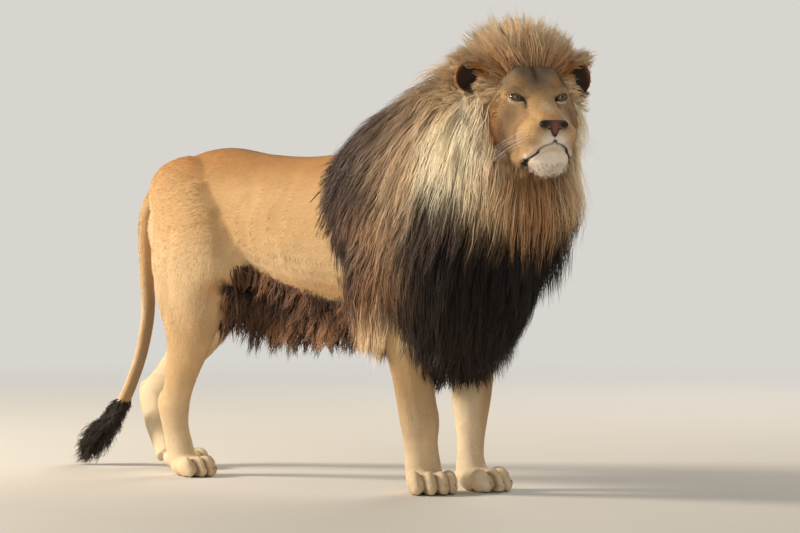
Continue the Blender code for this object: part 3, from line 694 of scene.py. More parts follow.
class Weaver:
    """Adds nodes to one tree of a material or of Geometry Nodes."""

    def __init__(self, tree: Tree) -> None:
        """Takes the tree that the nodes go into."""
        self.tree = tree

    def node(self, kind: str, settings: dict | None = None, inputs: dict | None = None,
             output: int | str = 0) -> Wire:
        """Adds a node.

        Args:
            kind: the node's type.
            settings: its properties; "stops" gives a ramp's (place, colour) pairs.
            inputs: for a socket's number or identifier, its value or wire.
            output: which output the wire is on, by number or identifier.

        Returns:
            The wire on that output.
        """
        made = self.tree.nodes.new(kind)
        for name, value in (settings or {}).items():
            if name == "stops":
                self._set_stops(made.color_ramp, value)
            else:
                setattr(made, name, value)
        for key, value in (inputs or {}).items():
            socket = made.inputs[key] if isinstance(key, int) else \
                next(s for s in made.inputs if s.identifier == key)
            if isinstance(value, Wire):
                self.tree.links.new(value.socket, socket)
            else:
                socket.default_value = value
        found = made.outputs[output] if isinstance(output, int) else \
            next(s for s in made.outputs if s.identifier == output)
        return Wire(self.tree, found)

    @staticmethod
    def _set_stops(ramp: bpy.types.ColorRamp, stops: Sequence[tuple]) -> None:
        """Gives a colour ramp its stops."""
        while len(ramp.elements) < len(stops):
            ramp.elements.new(1.0)
        for element, (place, colour) in zip(ramp.elements, stops):
            element.position = place
            element.color = colour

    def mixed(self, first: "Wire | tuple", second: "Wire | tuple",
              share: "Wire | float", blend: str = "MIX") -> Wire:
        """Two colours mixed, the second by its share."""
        return self.node("ShaderNodeMix", {"data_type": "RGBA", "blend_type": blend},
                         {"Factor_Float": share, "A_Color": first, "B_Color": second},
                         "Result_Color")

    def read(self, name: str, output: int = 2) -> Wire:
        """An attribute of the mesh: output 0 is its colour, 1 its vector, 2 its value."""
        return self.node("ShaderNodeAttribute", {"attribute_name": name}, output=output)

    def noise(self, vector: Wire, scale: float, detail: float = 2.0) -> Wire:
        """Noise from 0 to 1 at a vector."""
        return self.node("ShaderNodeTexNoise", None,
                         {"Vector": vector, "Scale": scale, "Detail": detail}, "Fac")

    def place(self) -> Wire:
        """Where each point is in its object."""
        return self.node("ShaderNodeTexCoord", output=3)

    def vector(self, operation: str, first: Wire, second: "Wire | tuple") -> Wire:
        """A Vector Math node on two vectors."""
        return self.node("ShaderNodeVectorMath", {"operation": operation}, {0: first, 1: second})

    def named(self, name: str, kind: str = "FLOAT") -> Wire:
        """An attribute, in Geometry Nodes."""
        return self.node("GeometryNodeInputNamedAttribute", {"data_type": kind}, {0: name})

    def shaded(self, colour: Wire, gain: Wire) -> Wire:
        """A colour made lighter or darker."""
        grey = self.node("ShaderNodeCombineColor", None, {0: gain, 1: gain, 2: gain})
        return self.mixed(colour, grey, 1.0, "MULTIPLY")

    def bump(self, strength: float, distance: float, height: Wire) -> Wire:
        """The normal of a relief."""
        return self.node("ShaderNodeBump", None, {"Strength": strength, "Distance": distance,
                                                  "Height": height})

    def lead(self, wire: Wire, node: bpy.types.Node, socket: str | int = 0) -> None:
        """Leads a wire into a node that is there already."""
        self.tree.links.new(wire.socket, node.inputs[socket])


def paint(red: float, green: float, blue: float) -> tuple:
    """A colour given in display values up to 255, as the linear one that shaders use."""
    return tuple(((c / 255 + 0.055) / 1.055) ** 2.4 for c in (red, green, blue))


def new_material(name: str) -> tuple[Material, Weaver, bpy.types.Node]:
    """A material with only its Principled shader, and what adds nodes to it."""
    material = bpy.data.materials.new(name)
    material.use_nodes = True
    shader = material.node_tree.nodes["Principled BSDF"]
    return material, Weaver(material.node_tree), shader


@dataclass(frozen=True)
class Finish:
    """What every finish has: a name and the constants of its shader."""

    name: str
    roughness: float
    specular: float = 0.3

    def start(self) -> tuple[Material, Weaver, bpy.types.Node]:
        """The material with the constants set."""
        material, weave, shader = new_material(self.name)
        shader.inputs["Roughness"].default_value = self.roughness
        shader.inputs["Specular IOR Level"].default_value = self.specular
        return material, weave, shader


@dataclass(frozen=True)
class SkinFinish(Finish):
    """Short fur lying flat: coloured by the markings, with the hairs as bump."""

    hair_depth: float = 0.0018

    def material(self) -> Material:
        """Builds the material."""
        made, weave, shader = self.start()
        place = weave.place()
        long_hairs = weave.noise(weave.vector("MULTIPLY", place, (70, 420, 260)), 1.0, 3.0)
        leg_hairs = weave.noise(weave.vector("MULTIPLY", place, (420, 420, 70)), 1.0, 3.0)
        face_hairs = weave.noise(place, 330.0, 3.0)
        upright, on_face, bare = (weave.read(name) for name in ("upright", "on_face", "bare"))
        hairs = long_hairs * (1 - upright) + leg_hairs * upright
        hairs = hairs * (1 - on_face) + face_hairs * on_face
        shade = 0.7 + hairs * 0.4 + weave.noise(place, 22.0, 4.0) * 0.2
        shade = shade * (1 - bare) + bare
        colour = weave.mixed(weave.read("coat", 0), (1, 1, 1, 1), 1.0, "MULTIPLY")
        weave.lead(weave.shaded(colour, shade), shader, "Base Color")
        weave.lead(weave.bump(0.7, self.hair_depth, hairs * (1 - bare * 0.85)), shader, "Normal")
        weave.lead(self.roughness - bare * 0.35, shader, "Roughness")
        return made


@dataclass(frozen=True)
class HairFinish(Finish):
    """Hair in locks: the markings' colour, each lock lighter or darker, darker at the root as
    painted shade deep in the locks, paler at the tip.
    """

    # root_gain below 1 darkens the roots: painted shade deep in the locks
    root_gain: float = 0.9
    tip_gain: float = 0.3
    tone_depth: float = 0.5
    streaks: float = 0.8

    def material(self) -> Material:
        """Builds the material."""
        made, weave, shader = self.start()
        tone, along, place = weave.read("tone"), weave.read("along"), weave.place()
        across = weave.node("ShaderNodeCombineXYZ", None,
                            {0: weave.read("around") * 5.0, 1: tone * 60.0, 2: along * 1.5})
        fine = weave.noise(place, 260.0, 2.0) * 0.4 + weave.noise(across, 1.6, 2.0) * 0.6
        gain = (1 - self.tone_depth / 2 + tone * self.tone_depth)
        gain = gain * (self.root_gain + (1 - self.root_gain) * along
                       + self.tip_gain * along ** 2.0)
        gain = gain * (1 - self.streaks / 2 + self.streaks * fine)
        weave.lead(weave.shaded(weave.read("coat", 0), gain), shader, "Base Color")
        return made


@dataclass(frozen=True)
class NoseFinish(Finish):
    """Moist leather of small pebbles, dark with a pinkish middle."""

    dark: tuple = (*paint(34, 25, 23), 1)
    pink: tuple = (*paint(122, 76, 65), 1)

    def material(self) -> Material:
        """Builds the material."""
        made, weave, shader = self.start()
        pebbles = weave.node("ShaderNodeTexVoronoi", None,
                             {"Vector": weave.place(), "Scale": 620.0}, "Distance")
        weave.lead(weave.mixed(self.dark, self.pink, weave.read("pink")), shader, "Base Color")
        weave.lead(weave.bump(0.5, 0.0006, pebbles), shader, "Normal")
        return made


@dataclass(frozen=True)
class EyeFinish(Finish):
    """A wet eyeball: round pupil, amber iris with a dark border, dull white beyond."""

    pupil: tuple = (0.004, 0.003, 0.003)

    def material(self) -> Material:
        """Builds the material."""
        made, weave, shader = self.start()
        off_axis = weave.read("off_axis") + weave.noise(weave.place(), 900.0, 3.0) * 0.05 - 0.025
        stops = ((0.0, self.pupil), (0.155, self.pupil), (0.185, paint(112, 82, 42)),
                 (0.36, paint(146, 112, 62)), (0.48, paint(96, 70, 34)),
                 (0.55, paint(24, 17, 13)), (0.66, paint(60, 44, 36)), (1.0, paint(120, 100, 86)))
        rings = {"stops": [(place, (*colour, 1)) for place, colour in stops]}
        weave.lead(weave.node("ShaderNodeValToRGB", rings, {0: off_axis}), shader, "Base Color")
        shader.inputs["Coat Weight"].default_value = 1.0
        shader.inputs["Coat Roughness"].default_value = 0.03
        return made


@dataclass(frozen=True)
class HornFinish(Finish):
    """Claws and whiskers: one colour that pales towards the tip."""

    root: tuple = paint(90, 70, 56)
    tip: tuple = paint(200, 184, 160)

    def material(self) -> Material:
        """Builds the material."""
        made, weave, shader = self.start()
        colour = weave.mixed((*self.root, 1), (*self.tip, 1), weave.read("along"))
        weave.lead(colour, shader, "Base Color")
        return made


@dataclass(frozen=True)
class FloorFinish(Finish):
    """The pale matt floor of the studio, which turns into the backdrop far away."""

    colour: tuple = paint(214, 208, 198)
    glow: tuple = (0.7, 0.7, 0.7)
    near: float = 1.6
    far: float = 6.5

    def material(self) -> Material:
        """Builds the material."""
        made, weave, shader = self.start()
        place = weave.place()
        pale = tuple(c * 0.96 for c in self.colour)
        colour = weave.mixed((*self.colour, 1), (*pale, 1), weave.noise(place, 3.0, 3.0))
        weave.lead(colour, shader, "Base Color")
        away = weave.node("ShaderNodeVectorMath", {"operation": "LENGTH"}, {0: place}, 1)
        share = weave.node("ShaderNodeMapRange", {"interpolation_type": "SMOOTHSTEP"},
                           {0: away, 1: self.near, 2: self.far, 3: 0.0, 4: 1.0})
        glow = weave.node("ShaderNodeEmission", None, {0: (*self.glow, 1), 1: 1.0})
        matt = Wire(made.node_tree, shader.outputs[0])
        seen = weave.node("ShaderNodeMixShader", None, {0: share, 1: matt, 2: glow})
        weave.lead(seen, made.node_tree.nodes["Material Output"], "Surface")
        return made


# ---------------------------------------------------------------- markings
# The mane's patches of colour, alike on both sides: where each is, how far it reaches,
# its colour and, where it isn't 1, its weight. Ruff and crown, in the head's frame:
HEAD_MANE = (
    # crown: pale gold hair, raised towards cream as painted light of sun shining through its tips
    ((-0.11, 0.0, 0.13), 0.05, (168, 112, 60)), ((-0.14, 0.0, 0.2), 0.08, (240, 204, 154)),
    ((-0.2, 0.0, 0.28), 0.12, (240, 222, 194)), ((-0.16, 0.16, 0.22), 0.1, (234, 204, 160)),
    ((-0.11, 0.1, 0.1), 0.045, (190, 124, 62)), ((-0.17, 0.2, 0.1), 0.07, (214, 180, 136)),
    ((-0.17, 0.2, 0.0), 0.05, (214, 176, 130)),
    # ruff beside the face: its own cream, raised to near white as a painted highlight
    ((-0.12, 0.18, -0.06), 0.06, (255, 240, 204), 2.0),
    ((-0.11, 0.18, -0.17), 0.07, (255, 240, 206), 2.2),
    ((-0.05, 0.12, -0.08), 0.034, (190, 130, 74)), ((-0.06, 0.11, -0.18), 0.04, (206, 152, 98)),
    ((-0.08, 0.13, -0.27), 0.06, (232, 196, 148)), ((-0.02, 0.0, -0.25), 0.07, (190, 140, 94)),
    ((-0.05, 0.0, -0.34), 0.06, (176, 130, 88)), ((-0.05, 0.06, -0.42), 0.05, (124, 90, 62)),
    ((-0.16, 0.22, -0.34), 0.07, (76, 58, 46), 1.3),
    ((-0.1, 0.14, -0.42), 0.06, (50, 38, 30), 1.5),
    ((-0.06, 0.04, -0.51), 0.07, (44, 33, 26), 1.5),
)
# Neck and chest, in the lion's frame.
BODY_MANE = (
    ((0.75, 0.0, 1.34), 0.12, (178, 152, 120)), ((0.66, 0.27, 1.17), 0.09, (186, 156, 124)),
    ((0.56, 0.28, 1.13), 0.08, (150, 124, 98)), ((0.63, 0.3, 1.03), 0.09, (232, 200, 158)),
    ((0.7, 0.28, 0.94), 0.07, (216, 186, 146)), ((0.6, 0.3, 0.89), 0.06, (196, 168, 132)),
    ((0.52, 0.3, 1.0), 0.07, (198, 164, 130)), ((0.45, 0.28, 1.06), 0.08, (110, 88, 72)),
    ((0.41, 0.3, 0.92), 0.07, (78, 58, 46)), ((0.22, 0.0, 1.05), 0.14, (76, 58, 50)),
    ((0.28, 0.27, 0.86), 0.09, (84, 63, 56)), ((0.38, 0.3, 0.8), 0.06, (160, 126, 98)),
    ((0.48, 0.3, 0.77), 0.06, (186, 150, 116)), ((0.52, 0.3, 0.65), 0.06, (172, 130, 94)),
    ((0.42, 0.29, 0.6), 0.06, (140, 100, 72)), ((0.28, 0.27, 0.66), 0.08, (66, 50, 44)),
    ((0.33, 0.26, 0.5), 0.05, (150, 104, 70)), ((0.42, 0.22, 0.45), 0.06, (246, 212, 166), 2.0),
    ((0.74, 0.25, 0.76), 0.09, (31, 24, 20), 1.3), ((0.62, 0.28, 0.66), 0.07, (44, 34, 27)),
    ((0.62, 0.28, 0.52), 0.09, (48, 37, 29)), ((0.7, 0.0, 0.68), 0.16, (34, 26, 22)),
    ((0.62, 0.1, 0.42), 0.1, (52, 38, 30)),
)


class Markings:
    """The animal's colours, with painted shade and highlights in places, the same for the skin and
    for the hair over it.
    """

    tawny = paint(198, 158, 108)
    rust = paint(176, 122, 66)
    amber = paint(186, 124, 62)
    pale = paint(220, 190, 148)
    cream = paint(232, 212, 178)
    white = paint(240, 224, 204)
    dark = paint(44, 32, 26)
    black = paint(20, 15, 14)
    face = paint(184, 146, 102)
    grey_tan = paint(120, 102, 79)
    orange = np.array(paint(184, 122, 62))
    brown = paint(104, 76, 52)

    @staticmethod
    def over(below: Array, *layers: tuple[Sequence[float], Array]) -> Array:
        """Colours with others laid over them, each by its share."""
        for above, share in layers:
            share = np.clip(share, 0, 1)[:, None]
            below = below * (1 - share) + np.array(above) * share
        return below

    def body(self, points: Array, normals: Array) -> Array:
        """The short coat's colour on trunk and legs, with painted shade on the forelegs.

        Args:
            points: places on the animal, in the lion's frame.
            normals: the way the skin faces there.

        Returns:
            One linear colour a row.
        """
        x, y, z = points.T
        ahead, out, up = normals.T
        colour = self.over(
            each(self.tawny, points),
            (self.rust, 0.85 * ramp(0.84, 0.99, z)),                       # back
            (self.brown, 0.45 * (bell(y, 0.03) * ramp(0.9, 0.97, z))),   # spine
            (self.pale, 0.6 * ramp(0.8, 0.62, z)),
            (self.cream, 0.7 * (ramp(-0.46, -0.6, x) * ramp(0.9, 0.75, z))),
            (self.amber, 0.8 * (bell(z, 0.03, 0.585) * ramp(-0.3, -0.2, x))),
            (self.brown, 0.45 * (bell(x, 0.045, -0.265) * ramp(0.64, 0.54, z)  # knee
                                 * ramp(0.36, 0.46, z))),
            (self.tawny, 0.55 * (ramp(0.56, 0.46, z) * ramp(0.22, 0.34, z))),
            (self.brown, 0.22 * (ramp(0.25, 0.35, x) * ramp(0.52, 0.42, z)
                                 * ramp(0.08, 0.22, z))),                  # forelegs: painted shade
            (self.cream, 0.75 * (ramp(0.1, 0.8, -out * np.sign(y))
                                 * ramp(0.7, 0.5, z))),                  # inner sides
            (self.cream, 0.6 * ramp(0.3, 0.05, z)),
            (self.tawny, 0.3 * (ramp(0.3, 0.9, ahead) * ramp(0.45, 0.3, z))),
            (self.pale, 0.6 * (ramp(-0.3, -0.9, up) * ramp(0.45, 0.6, z))))
        mottle = (soft_noise(points, 5.0, 3) * 0.07 + soft_noise(points, 14.0, 4) * 0.05
                  + soft_noise(points, 40.0, 5) * 0.04)
        return self.paws(colour * (1 + mottle)[:, None], points, normals)

    def paws(self, colour: Array, points: Array, normals: Array) -> Array:
        """Painted shade in the gaps between the toes, and the dark pads under the paws."""
        for paw in PAWS.values():
            x, y, z = in_frame(points, paw.place()).T
            near = (np.abs(x) < paw.length * 0.7) & (np.abs(y) < paw.width * 0.7)
            ahead = ramp(0.1, 0.35, x / (paw.length / 2)) * near
            # painted shade: a dark line in each gap between two toes, on top of the paw
            for first, second in zip(TOES, TOES[1:]):
                middle = (first[0] + second[0]) / 2 * (paw.width / 2)
                line = bell(y, 0.004, middle * 0.98) * ahead
                line = line * ramp(paw.height, paw.height * 0.75, z)
                colour = self.over(colour, (self.brown, 0.85 * line))
            sole = near * ramp(-0.8, -0.95, normals[:, 2]) * (points[:, 2] < 0.012)
            colour = self.over(colour, (self.dark, sole))
        return colour

    def tail(self, points: Array, normals: Array) -> Array:
        """The tail: tan, greyer above, pale behind, its end dark."""
        z, ahead = points[:, 2], normals[:, 0]
        lower = ramp(0.7, 0.45, z)
        return self.over(
            each(paint(196, 158, 112), points),
            (paint(126, 106, 84), 0.65 * lower * ramp(-0.2, 0.6, ahead)),
            (self.cream, 0.6 * ramp(0.3, -0.7, ahead) * lower),
            (self.dark, ramp(0.19, 0.15, z)))

    def mane(self, points: Array, ruff: Array) -> Array:
        """The mane's colour: a blend of the patches near each point.

        Args:
            points: places in the mane, in the lion's frame.
            ruff: for each, how far its hair belongs to ruff and crown.

        Returns:
            One linear colour a row.
        """
        blends = []
        for patches, place in ((HEAD_MANE, head_place()), (BODY_MANE, Matrix())):
            local = in_frame(points, place)
            local[:, 1] = np.abs(local[:, 1])
            total = np.zeros((len(points), 3))
            weights = np.full(len(points), 1e-9)
            for at, reach, colour, *weight in patches:
                share = sum(weight) or 1.0
                share = share * bell(norm(local - np.array(at)), reach) + 1e-7
                total += share[:, None] * np.array(paint(*colour))
                weights += share
            blends.append(total / weights[:, None])
        return blends[1] + (blends[0] - blends[1]) * ruff[:, None]

    @staticmethod
    def ruff(points: Array) -> Array:
        """How far hair that roots here belongs to the ruff and crown."""
        f, _, u = in_head(points).T
        crown = ramp(0.02, 0.1, u)
        low, high = -0.215 - 0.1 * crown, -0.185 - 0.06 * crown
        return ramp(low, high, f) * ramp(-0.36, -0.31, u)

    def head(self, points: Array, tree: BVHTree) -> tuple[Array, Array]:
        """The face: golden bridge, white lips and chin, black rims, a grey forehead and brown
        cheeks both darkened with painted shade, and black painted shade in the nostrils.

        Args:
            points: places on the head, in the lion's frame.
            tree: the skin, onto which the face's lines are pressed.

        Returns:
            One linear colour a row, and how bare the skin is there.
        """
        f, l, u = in_head(points).T
        side = np.abs(l)
        folded = np.column_stack([f, side, u])

        def line(path: Path, reach: float) -> Array:
            """How near each point is to a line of the face."""
            return bell(distance_to(folded, pressed(path, tree)), reach)

        def spot(at: Sequence[float], reach: Sequence[float]) -> Array:
            """How near each point is to a place of the face."""
            return np.exp(-np.sum(((folded - at) / reach) ** 2, axis=1))

        above_lips = tuple((f0, l0, u0 + 0.012) for f0, l0, u0 in LIP_LINE)
        pad_rows = sum(bell(u, 0.0022, height) for height, _ in PAD_ROWS)
        chin = np.linalg.norm((np.column_stack([f, l, u]) - (0.095, 0, -0.2))
                              / (1.0, 1.0, 0.75), axis=1)
        colour = self.over(
            each(self.face, points),
            # grey forehead: its own greyer colour, darkened further with painted shade from the
            # mane above
            (self.grey_tan, 0.9 * ramp(0.005, 0.05, u)),
            (paint(88, 74, 60), 0.6 * spot((-0.075, 0.034, 0.085), (0.04, 0.016, 0.022))),
            (paint(62, 52, 42), 0.85 * bell(side, 0.009) * ramp(0.03, 0.065, u)),
            (self.face, 0.8 * spot((-0.03, 0.052, 0.045), (0.04, 0.02, 0.02))),
            (paint(168, 118, 62), 0.75 * spot((-0.03, 0.05, 0.04), (0.04, 0.0105, 0.018))),
            # brown cheeks: their own browner colour, deepened with painted shade of the mane beside
            # them
            (self.brown, 0.8 * spot((0.005, 0.095, -0.055), (0.05, 0.04, 0.045))),
            (self.brown, 0.6 * spot((-0.02, 0.1, -0.11), (0.06, 0.035, 0.05))),
            (paint(206, 158, 100), 0.9 * bell(side, 0.036) * ramp(-0.01, 0.04, f)
             * ramp(-0.085, -0.065, u)),
            (paint(222, 198, 162), 0.7 * spot((0.085, 0.0, -0.03), (0.05, 0.016, 0.03))),
            (self.brown, 0.75 * line(TEAR_LINE, 0.0075)),
            (self.brown, 0.28 * np.maximum(soft_noise(folded, 60.0, 17), 0)),
            (paint(212, 166, 108), 0.9 * spot((0.095, 0.055, -0.098), (0.06, 0.04, 0.03))),
            (self.brown, 0.42 * pad_rows
             * spot((0.09, 0.06, -0.115), (0.034, 0.03, 0.03))),
            (self.white, 0.95 * spot((0.145, 0.0, -0.13), (0.05, 0.034, 0.024))),
            (self.white, 0.8 * line(above_lips, 0.013)),
            (self.white, ramp(0.085, 0.045, chin)),
            (self.orange, 0.7 * ramp(0.1, 0.13, side) * ramp(0.04, -0.06, f)),
            (self.white, 0.85 * line(UNDER_LID, 0.0038)),
            (self.black, 0.95 * line(EYE_RIM, 0.0048)),
            # painted shade: black on the skin that shows through the nostrils, so they read as dark
            # holes
            (self.black, 0.95 * spot((0.14, 0.024, -0.09), (0.02, 0.016, 0.012))),
            (self.black, 0.9 * line(TEAR_LINE[:2], 0.0034)))
        lips = np.maximum(line(LIP_LINE, 0.0042), line(LIP_CORNER, 0.008))
        lips = np.clip(1.5 * np.maximum(lips, line(PHILTRUM, 0.0032)), 0, 1)
        rims = np.clip(line(EYE_RIM, 0.0028), 0, 1)
        colour = self.over(self.ears(colour, points), (self.black, lips))
        return colour, np.maximum(lips, rims)

    def ears(self, colour: Array, points: Array) -> Array:
        """Ears: a brown rim, dark inner skin deepened with painted shade in the hollow, dark at the
        back of the base.
        """
        for _, local, away in in_ears(points):
            x, y, z = local.T
            on_ear = ramp(0.075, 0.06, away) * ramp(-0.055, -0.035, z)
            # the hollow: dark inner skin, made near black as painted shade
            hollow = on_ear * ramp(0.048, 0.03, np.hypot(y, z)) * ramp(-0.03, -0.022, x)
            behind = on_ear * ramp(-0.02, -0.028, x) * ramp(0.02, -0.01, z)
            colour = self.over(colour, (paint(158, 104, 56), on_ear),
                               (paint(42, 29, 23), 0.95 * hollow), (self.dark, 0.85 * behind))
        return colour


# -------------------------------------------------------------------- skin
@dataclass
class Head:
    """The head's skin: its form, the folds of the face, lids and ears."""

    voxel: float = 0.002
    blending: int = 14           # rounds of smoothing that blend the forms
    triangles: int = 92_000
    lid: float = 0.0032          # thickness of a lid over the eyeball

    def form(self) -> Object:
        """The large forms, blended: skull, bridge, muzzle, pads, cheeks and chin."""
        bm, place = bmesh.new(), head_place()
        rings = []
        for row in between_stations(HEAD_SECTIONS, 4):
            half = [(row[2], row[3]), (row[4], row[5]), (row[6], row[7])]
            corners = [(0, row[1]), *half, (0, row[8]), *[(-l, u) for l, u in half[::-1]]]
            closed = corners[-1:] + corners + corners[:2]
            outline = between_stations(closed, 8)[8:-9]
            rings.append([bm.verts.new(place @ Vector((row[0], l, u))) for l, u in outline])
        skin_rings(bm, rings)

        def pair(centre: Sequence[float], radii: Sequence[float],
                 turn: Sequence[float] = (0, 0, 0)) -> None:
            """Adds an ellipsoid on each side of the head."""
            for side in (-1, 1):
                ellipsoid(bm, (centre[0], side * centre[1], centre[2]), radii,
                          (side * turn[0], turn[1], side * turn[2]), place)

        pair((0.098, 0.036, -0.112), (0.048, 0.04, 0.037))                # whisker pads
        pair((0.07, 0.046, -0.142), (0.056, 0.026, 0.038), (0, 18, -8))   # hanging lip
        ellipsoid(bm, (0.078, 0, -0.184), (0.046, 0.054, 0.036), place=place)      # chin
        pair((0.015, 0.046, -0.168), (0.08, 0.034, 0.034), (0, 4, -12))   # jaw
        pair((-0.08, 0.08, -0.08), (0.07, 0.05, 0.07))               # cheeks
        pair((-0.032, 0.064, 0.016), (0.024, 0.034, 0.014), (0, 0, -20))   # brows
        form = from_bmesh("head_skin", bm)
        remesh(form, 0.0026, self.blending)
        return form

    def build(self) -> Object:
        """The head with lids and ears, carved by the strokes."""
        bm, place = bmesh.new(), head_place()
        pour(bm, self.form())
        for side in (-1, 1):
            ellipsoid(bm, (EYE_AT.x, side * EYE_AT.y, 0), (EYE_RADIUS + self.lid,) * 3, place=place)
        for side in Side:
            pour(bm, self.ear(side))
        mesh = bpy.data.meshes.new("head_skin")
        bm.to_mesh(mesh)
        bm.free()
        head = new_object("head_skin", mesh)
        remesh(head, self.voxel, 4)
        carve(head, STROKES, place)
        for side in Side:
            combine(head, self.eye_slot(side), "DIFFERENCE")
        f, l, u = in_head(positions(head.data)).T
        spared = np.maximum(ramp(-0.13, -0.06, f), ramp(0.1, 0.14, np.abs(l)) * (u > 0.0))
        thin(head, self.triangles, spared)
        thin(head, self.triangles)
        return head

    def eye_slot(self, side: Side) -> Object:
        """What is cut away between the lids: an almond, extruded forwards."""
        bm = bmesh.new()
        place = head_place() @ Matrix.Translation((EYE_AT.x, side.value * EYE_AT.y, 0))
        rings = []
        for depth in (0.002, 0.05):
            ring = []
            for angle in turns(48):
                wide, tall = math.cos(angle), math.sin(angle)
                tall *= (SLOT_RISE if tall > 0 else SLOT_DROP) * (1 - 0.35 * wide * wide)
                slant = SLOT_SLANT * wide * side.value
                ring.append(bm.verts.new(place @ Vector((depth, wide * SLOT_HALF, tall + slant))))
            rings.append(ring)
        skin_rings(bm, rings)
        return from_bmesh("slot", bm)

    def ear(self, side: Side) -> Object:
        """An ear: a rounded cup that thins to its rim."""
        place = ear_place(side)
        bm, cut = bmesh.new(), bmesh.new()
        ellipsoid(bm, (0, 0, 0), (0.03, 0.054, 0.052), place=place)
        ellipsoid(bm, (-0.02, -side.value * 0.03, -0.03), (0.032, 0.038, 0.038), place=place)
        ear = from_bmesh("ear", bm)
        remesh(ear, 0.0025, 2)
        ellipsoid(cut, (0.027, 0, 0.003), (0.042, 0.047, 0.045), place=place)
        combine(ear, from_bmesh("hollow", cut), "DIFFERENCE")
        return ear


@dataclass
class Skin:
    """The whole hide: flesh, head and the mass of the mane, as one closed skin."""

    markings: Markings
    body_voxel: float = 0.006
    body_triangles: int = 90_000
    flesh_nodes: tuple[str, ...] = (
        "head", "jaw", "ear_left", "ear_right", "trunk", "rump", "thigh_left", "thigh_right",
        "shank_left", "shank_right", "forearm_left", "forearm_right", "fore_paw_left",
        "fore_paw_right", "hind_paw_left", "hind_paw_right", "tail_root", "tail_middle", "tail_end")

    def mane_mass(self) -> Object:
        """The hair under the outer locks, as one soft mass over neck and chest."""
        bm, place = bmesh.new(), head_place()
        loft(bm, MANE_NECK, sides=48)
        rings = []
        for height, middle, half_x, half_y in between_stations(MANE_BIB, 5):
            rings.append([bm.verts.new(Vector((middle, 0, height)) + Vector(
                (math.cos(angle) * half_x, math.sin(angle) * half_y, 0))) for angle in turns(48)])
        skin_rings(bm, rings)
        ellipsoid(bm, (-0.175, 0, -0.035), (0.105, 0.16, 0.19), place=place)
        ellipsoid(bm, (-0.145, 0, -0.15), (0.085, 0.135, 0.165), place=place)
        ellipsoid(bm, (-0.17, 0, -0.28), (0.105, 0.145, 0.18), place=place)
        for side in Side:
            ellipsoid(bm, (0.405, side.value * 0.16, 0.6), (0.09, 0.085, 0.145), (0, -14, 0))
        mass = from_bmesh("mane_mass", bm)
        remesh(mass, 0.008, 8)
        return mass

    def fringe_mass(self) -> Object:
        """The ridge of hair along the belly, under its locks."""
        bm = bmesh.new()
        loft(bm, BELLY_FRINGE)
        for side in Side:
            loft(bm, [(x, y * side.value, z, *half) for x, y, z, *half in FLANK_FRINGE])
        mass = from_bmesh("fringe_mass", bm)
        remesh(mass, 0.007, 3)
        return mass

    def add_paw(self, bm: BMesh, paw: Paw) -> None:
        """A paw: a pad and four toes, each a knuckle and a tip."""
        place = paw.place()
        half_width, half_length = paw.width / 2 - 0.003, paw.length / 2 - 0.002
        pad = (-0.25 * half_length, 0, 0.42 * paw.height)
        ellipsoid(bm, pad, (0.72 * half_length, 0.8 * half_width, 0.5 * paw.height),
                  place=place)
        for lateral, forward in TOES:
            knuckle = (forward * half_length, lateral * half_width, 0.44 * paw.height)
            reach = (0.42 * half_length, 0.265 * half_width, 0.46 * paw.height)
            ellipsoid(bm, knuckle, reach, (0, 0, 14 * lateral), place)
            tip = ((forward + 0.3) * half_length, lateral * half_width * 1.02,
                   0.26 * paw.height)
            ellipsoid(bm, tip, (0.22 * half_length, 0.22 * half_width, 0.27 * paw.height),
                      (0, 0, 14 * lateral), place)

    def body(self, mass: Object, fringe: Object) -> Object:
        """Trunk, legs, paws and tail fused with the masses of hair."""
        bm = bmesh.new()
        loft(bm, TRUNK, sides=36, inside=COAT_DEPTH)
        for side in Side:
            loft(bm, HIND_LEGS[side], inside=COAT_DEPTH)
            loft(bm, FORE_LEGS[side], inside=COAT_DEPTH)
            y = side.value
            ellipsoid(bm, (-0.405, y * 0.085, 0.85), (0.16, 0.08, 0.125), (0, 12, 0))
            ellipsoid(bm, (-0.5, y * 0.075, 0.76), (0.07, 0.065, 0.125))
            ellipsoid(bm, (-0.26, y * 0.12, 0.69), (0.105, 0.04, 0.105), (0, -20, 0))
            hock = HIND_LEGS[side][8]
            ellipsoid(bm, (hock[0] - 0.04, hock[1], hock[2] + 0.01), (0.022, 0.02, 0.042))
        for paw in PAWS.values():
            self.add_paw(bm, paw)
        loft(bm, TAIL, sides=16, inside=0.003)
        bm.from_mesh(mass.data)
        bm.from_mesh(fringe.data)
        body = from_bmesh("skin", bm)
        remesh(body, self.body_voxel, 3)
        carve(body, BODY_STROKES + self.leg_strokes(), Matrix())
        points = positions(body.data)
        points[:, 2] = np.maximum(points[:, 2], 0.0)      # flat soles
        set_positions(body.data, points)
        thin(body, self.body_triangles)
        return body

    @staticmethod
    def leg_strokes() -> list[tuple]:
        """The grooves of muscles and tendons on the outside of the legs."""
        strokes = []
        for legs, rows, back, reach, depth in (
                (HIND_LEGS, slice(1, 6), 0.03, 0.018, -0.005),
                (HIND_LEGS, slice(6, 9), 0.016, 0.011, -0.005),
                (FORE_LEGS, slice(2, 6), 0.012, 0.014, -0.0035)):
            for stations in legs.values():
                path = [(x - back, abs(y) + wide, z) for x, y, z, wide, _ in stations[rows]]
                strokes.append((path, reach, depth))
        return strokes

    def build(self) -> tuple[Object, Object, Object]:
        """Builds the skin and what the coat needs to know of it.

        Returns:
            The skin, and the masses of the mane and of the belly fringe.
        """
        mass, fringe = self.mane_mass(), self.fringe_mass()
        skin = self.body(mass, fringe)
        combine(skin, Head().build(), "UNION")
        self.mark(skin, mass, fringe)
        skin.data.shade_smooth()
        return skin, mass, fringe

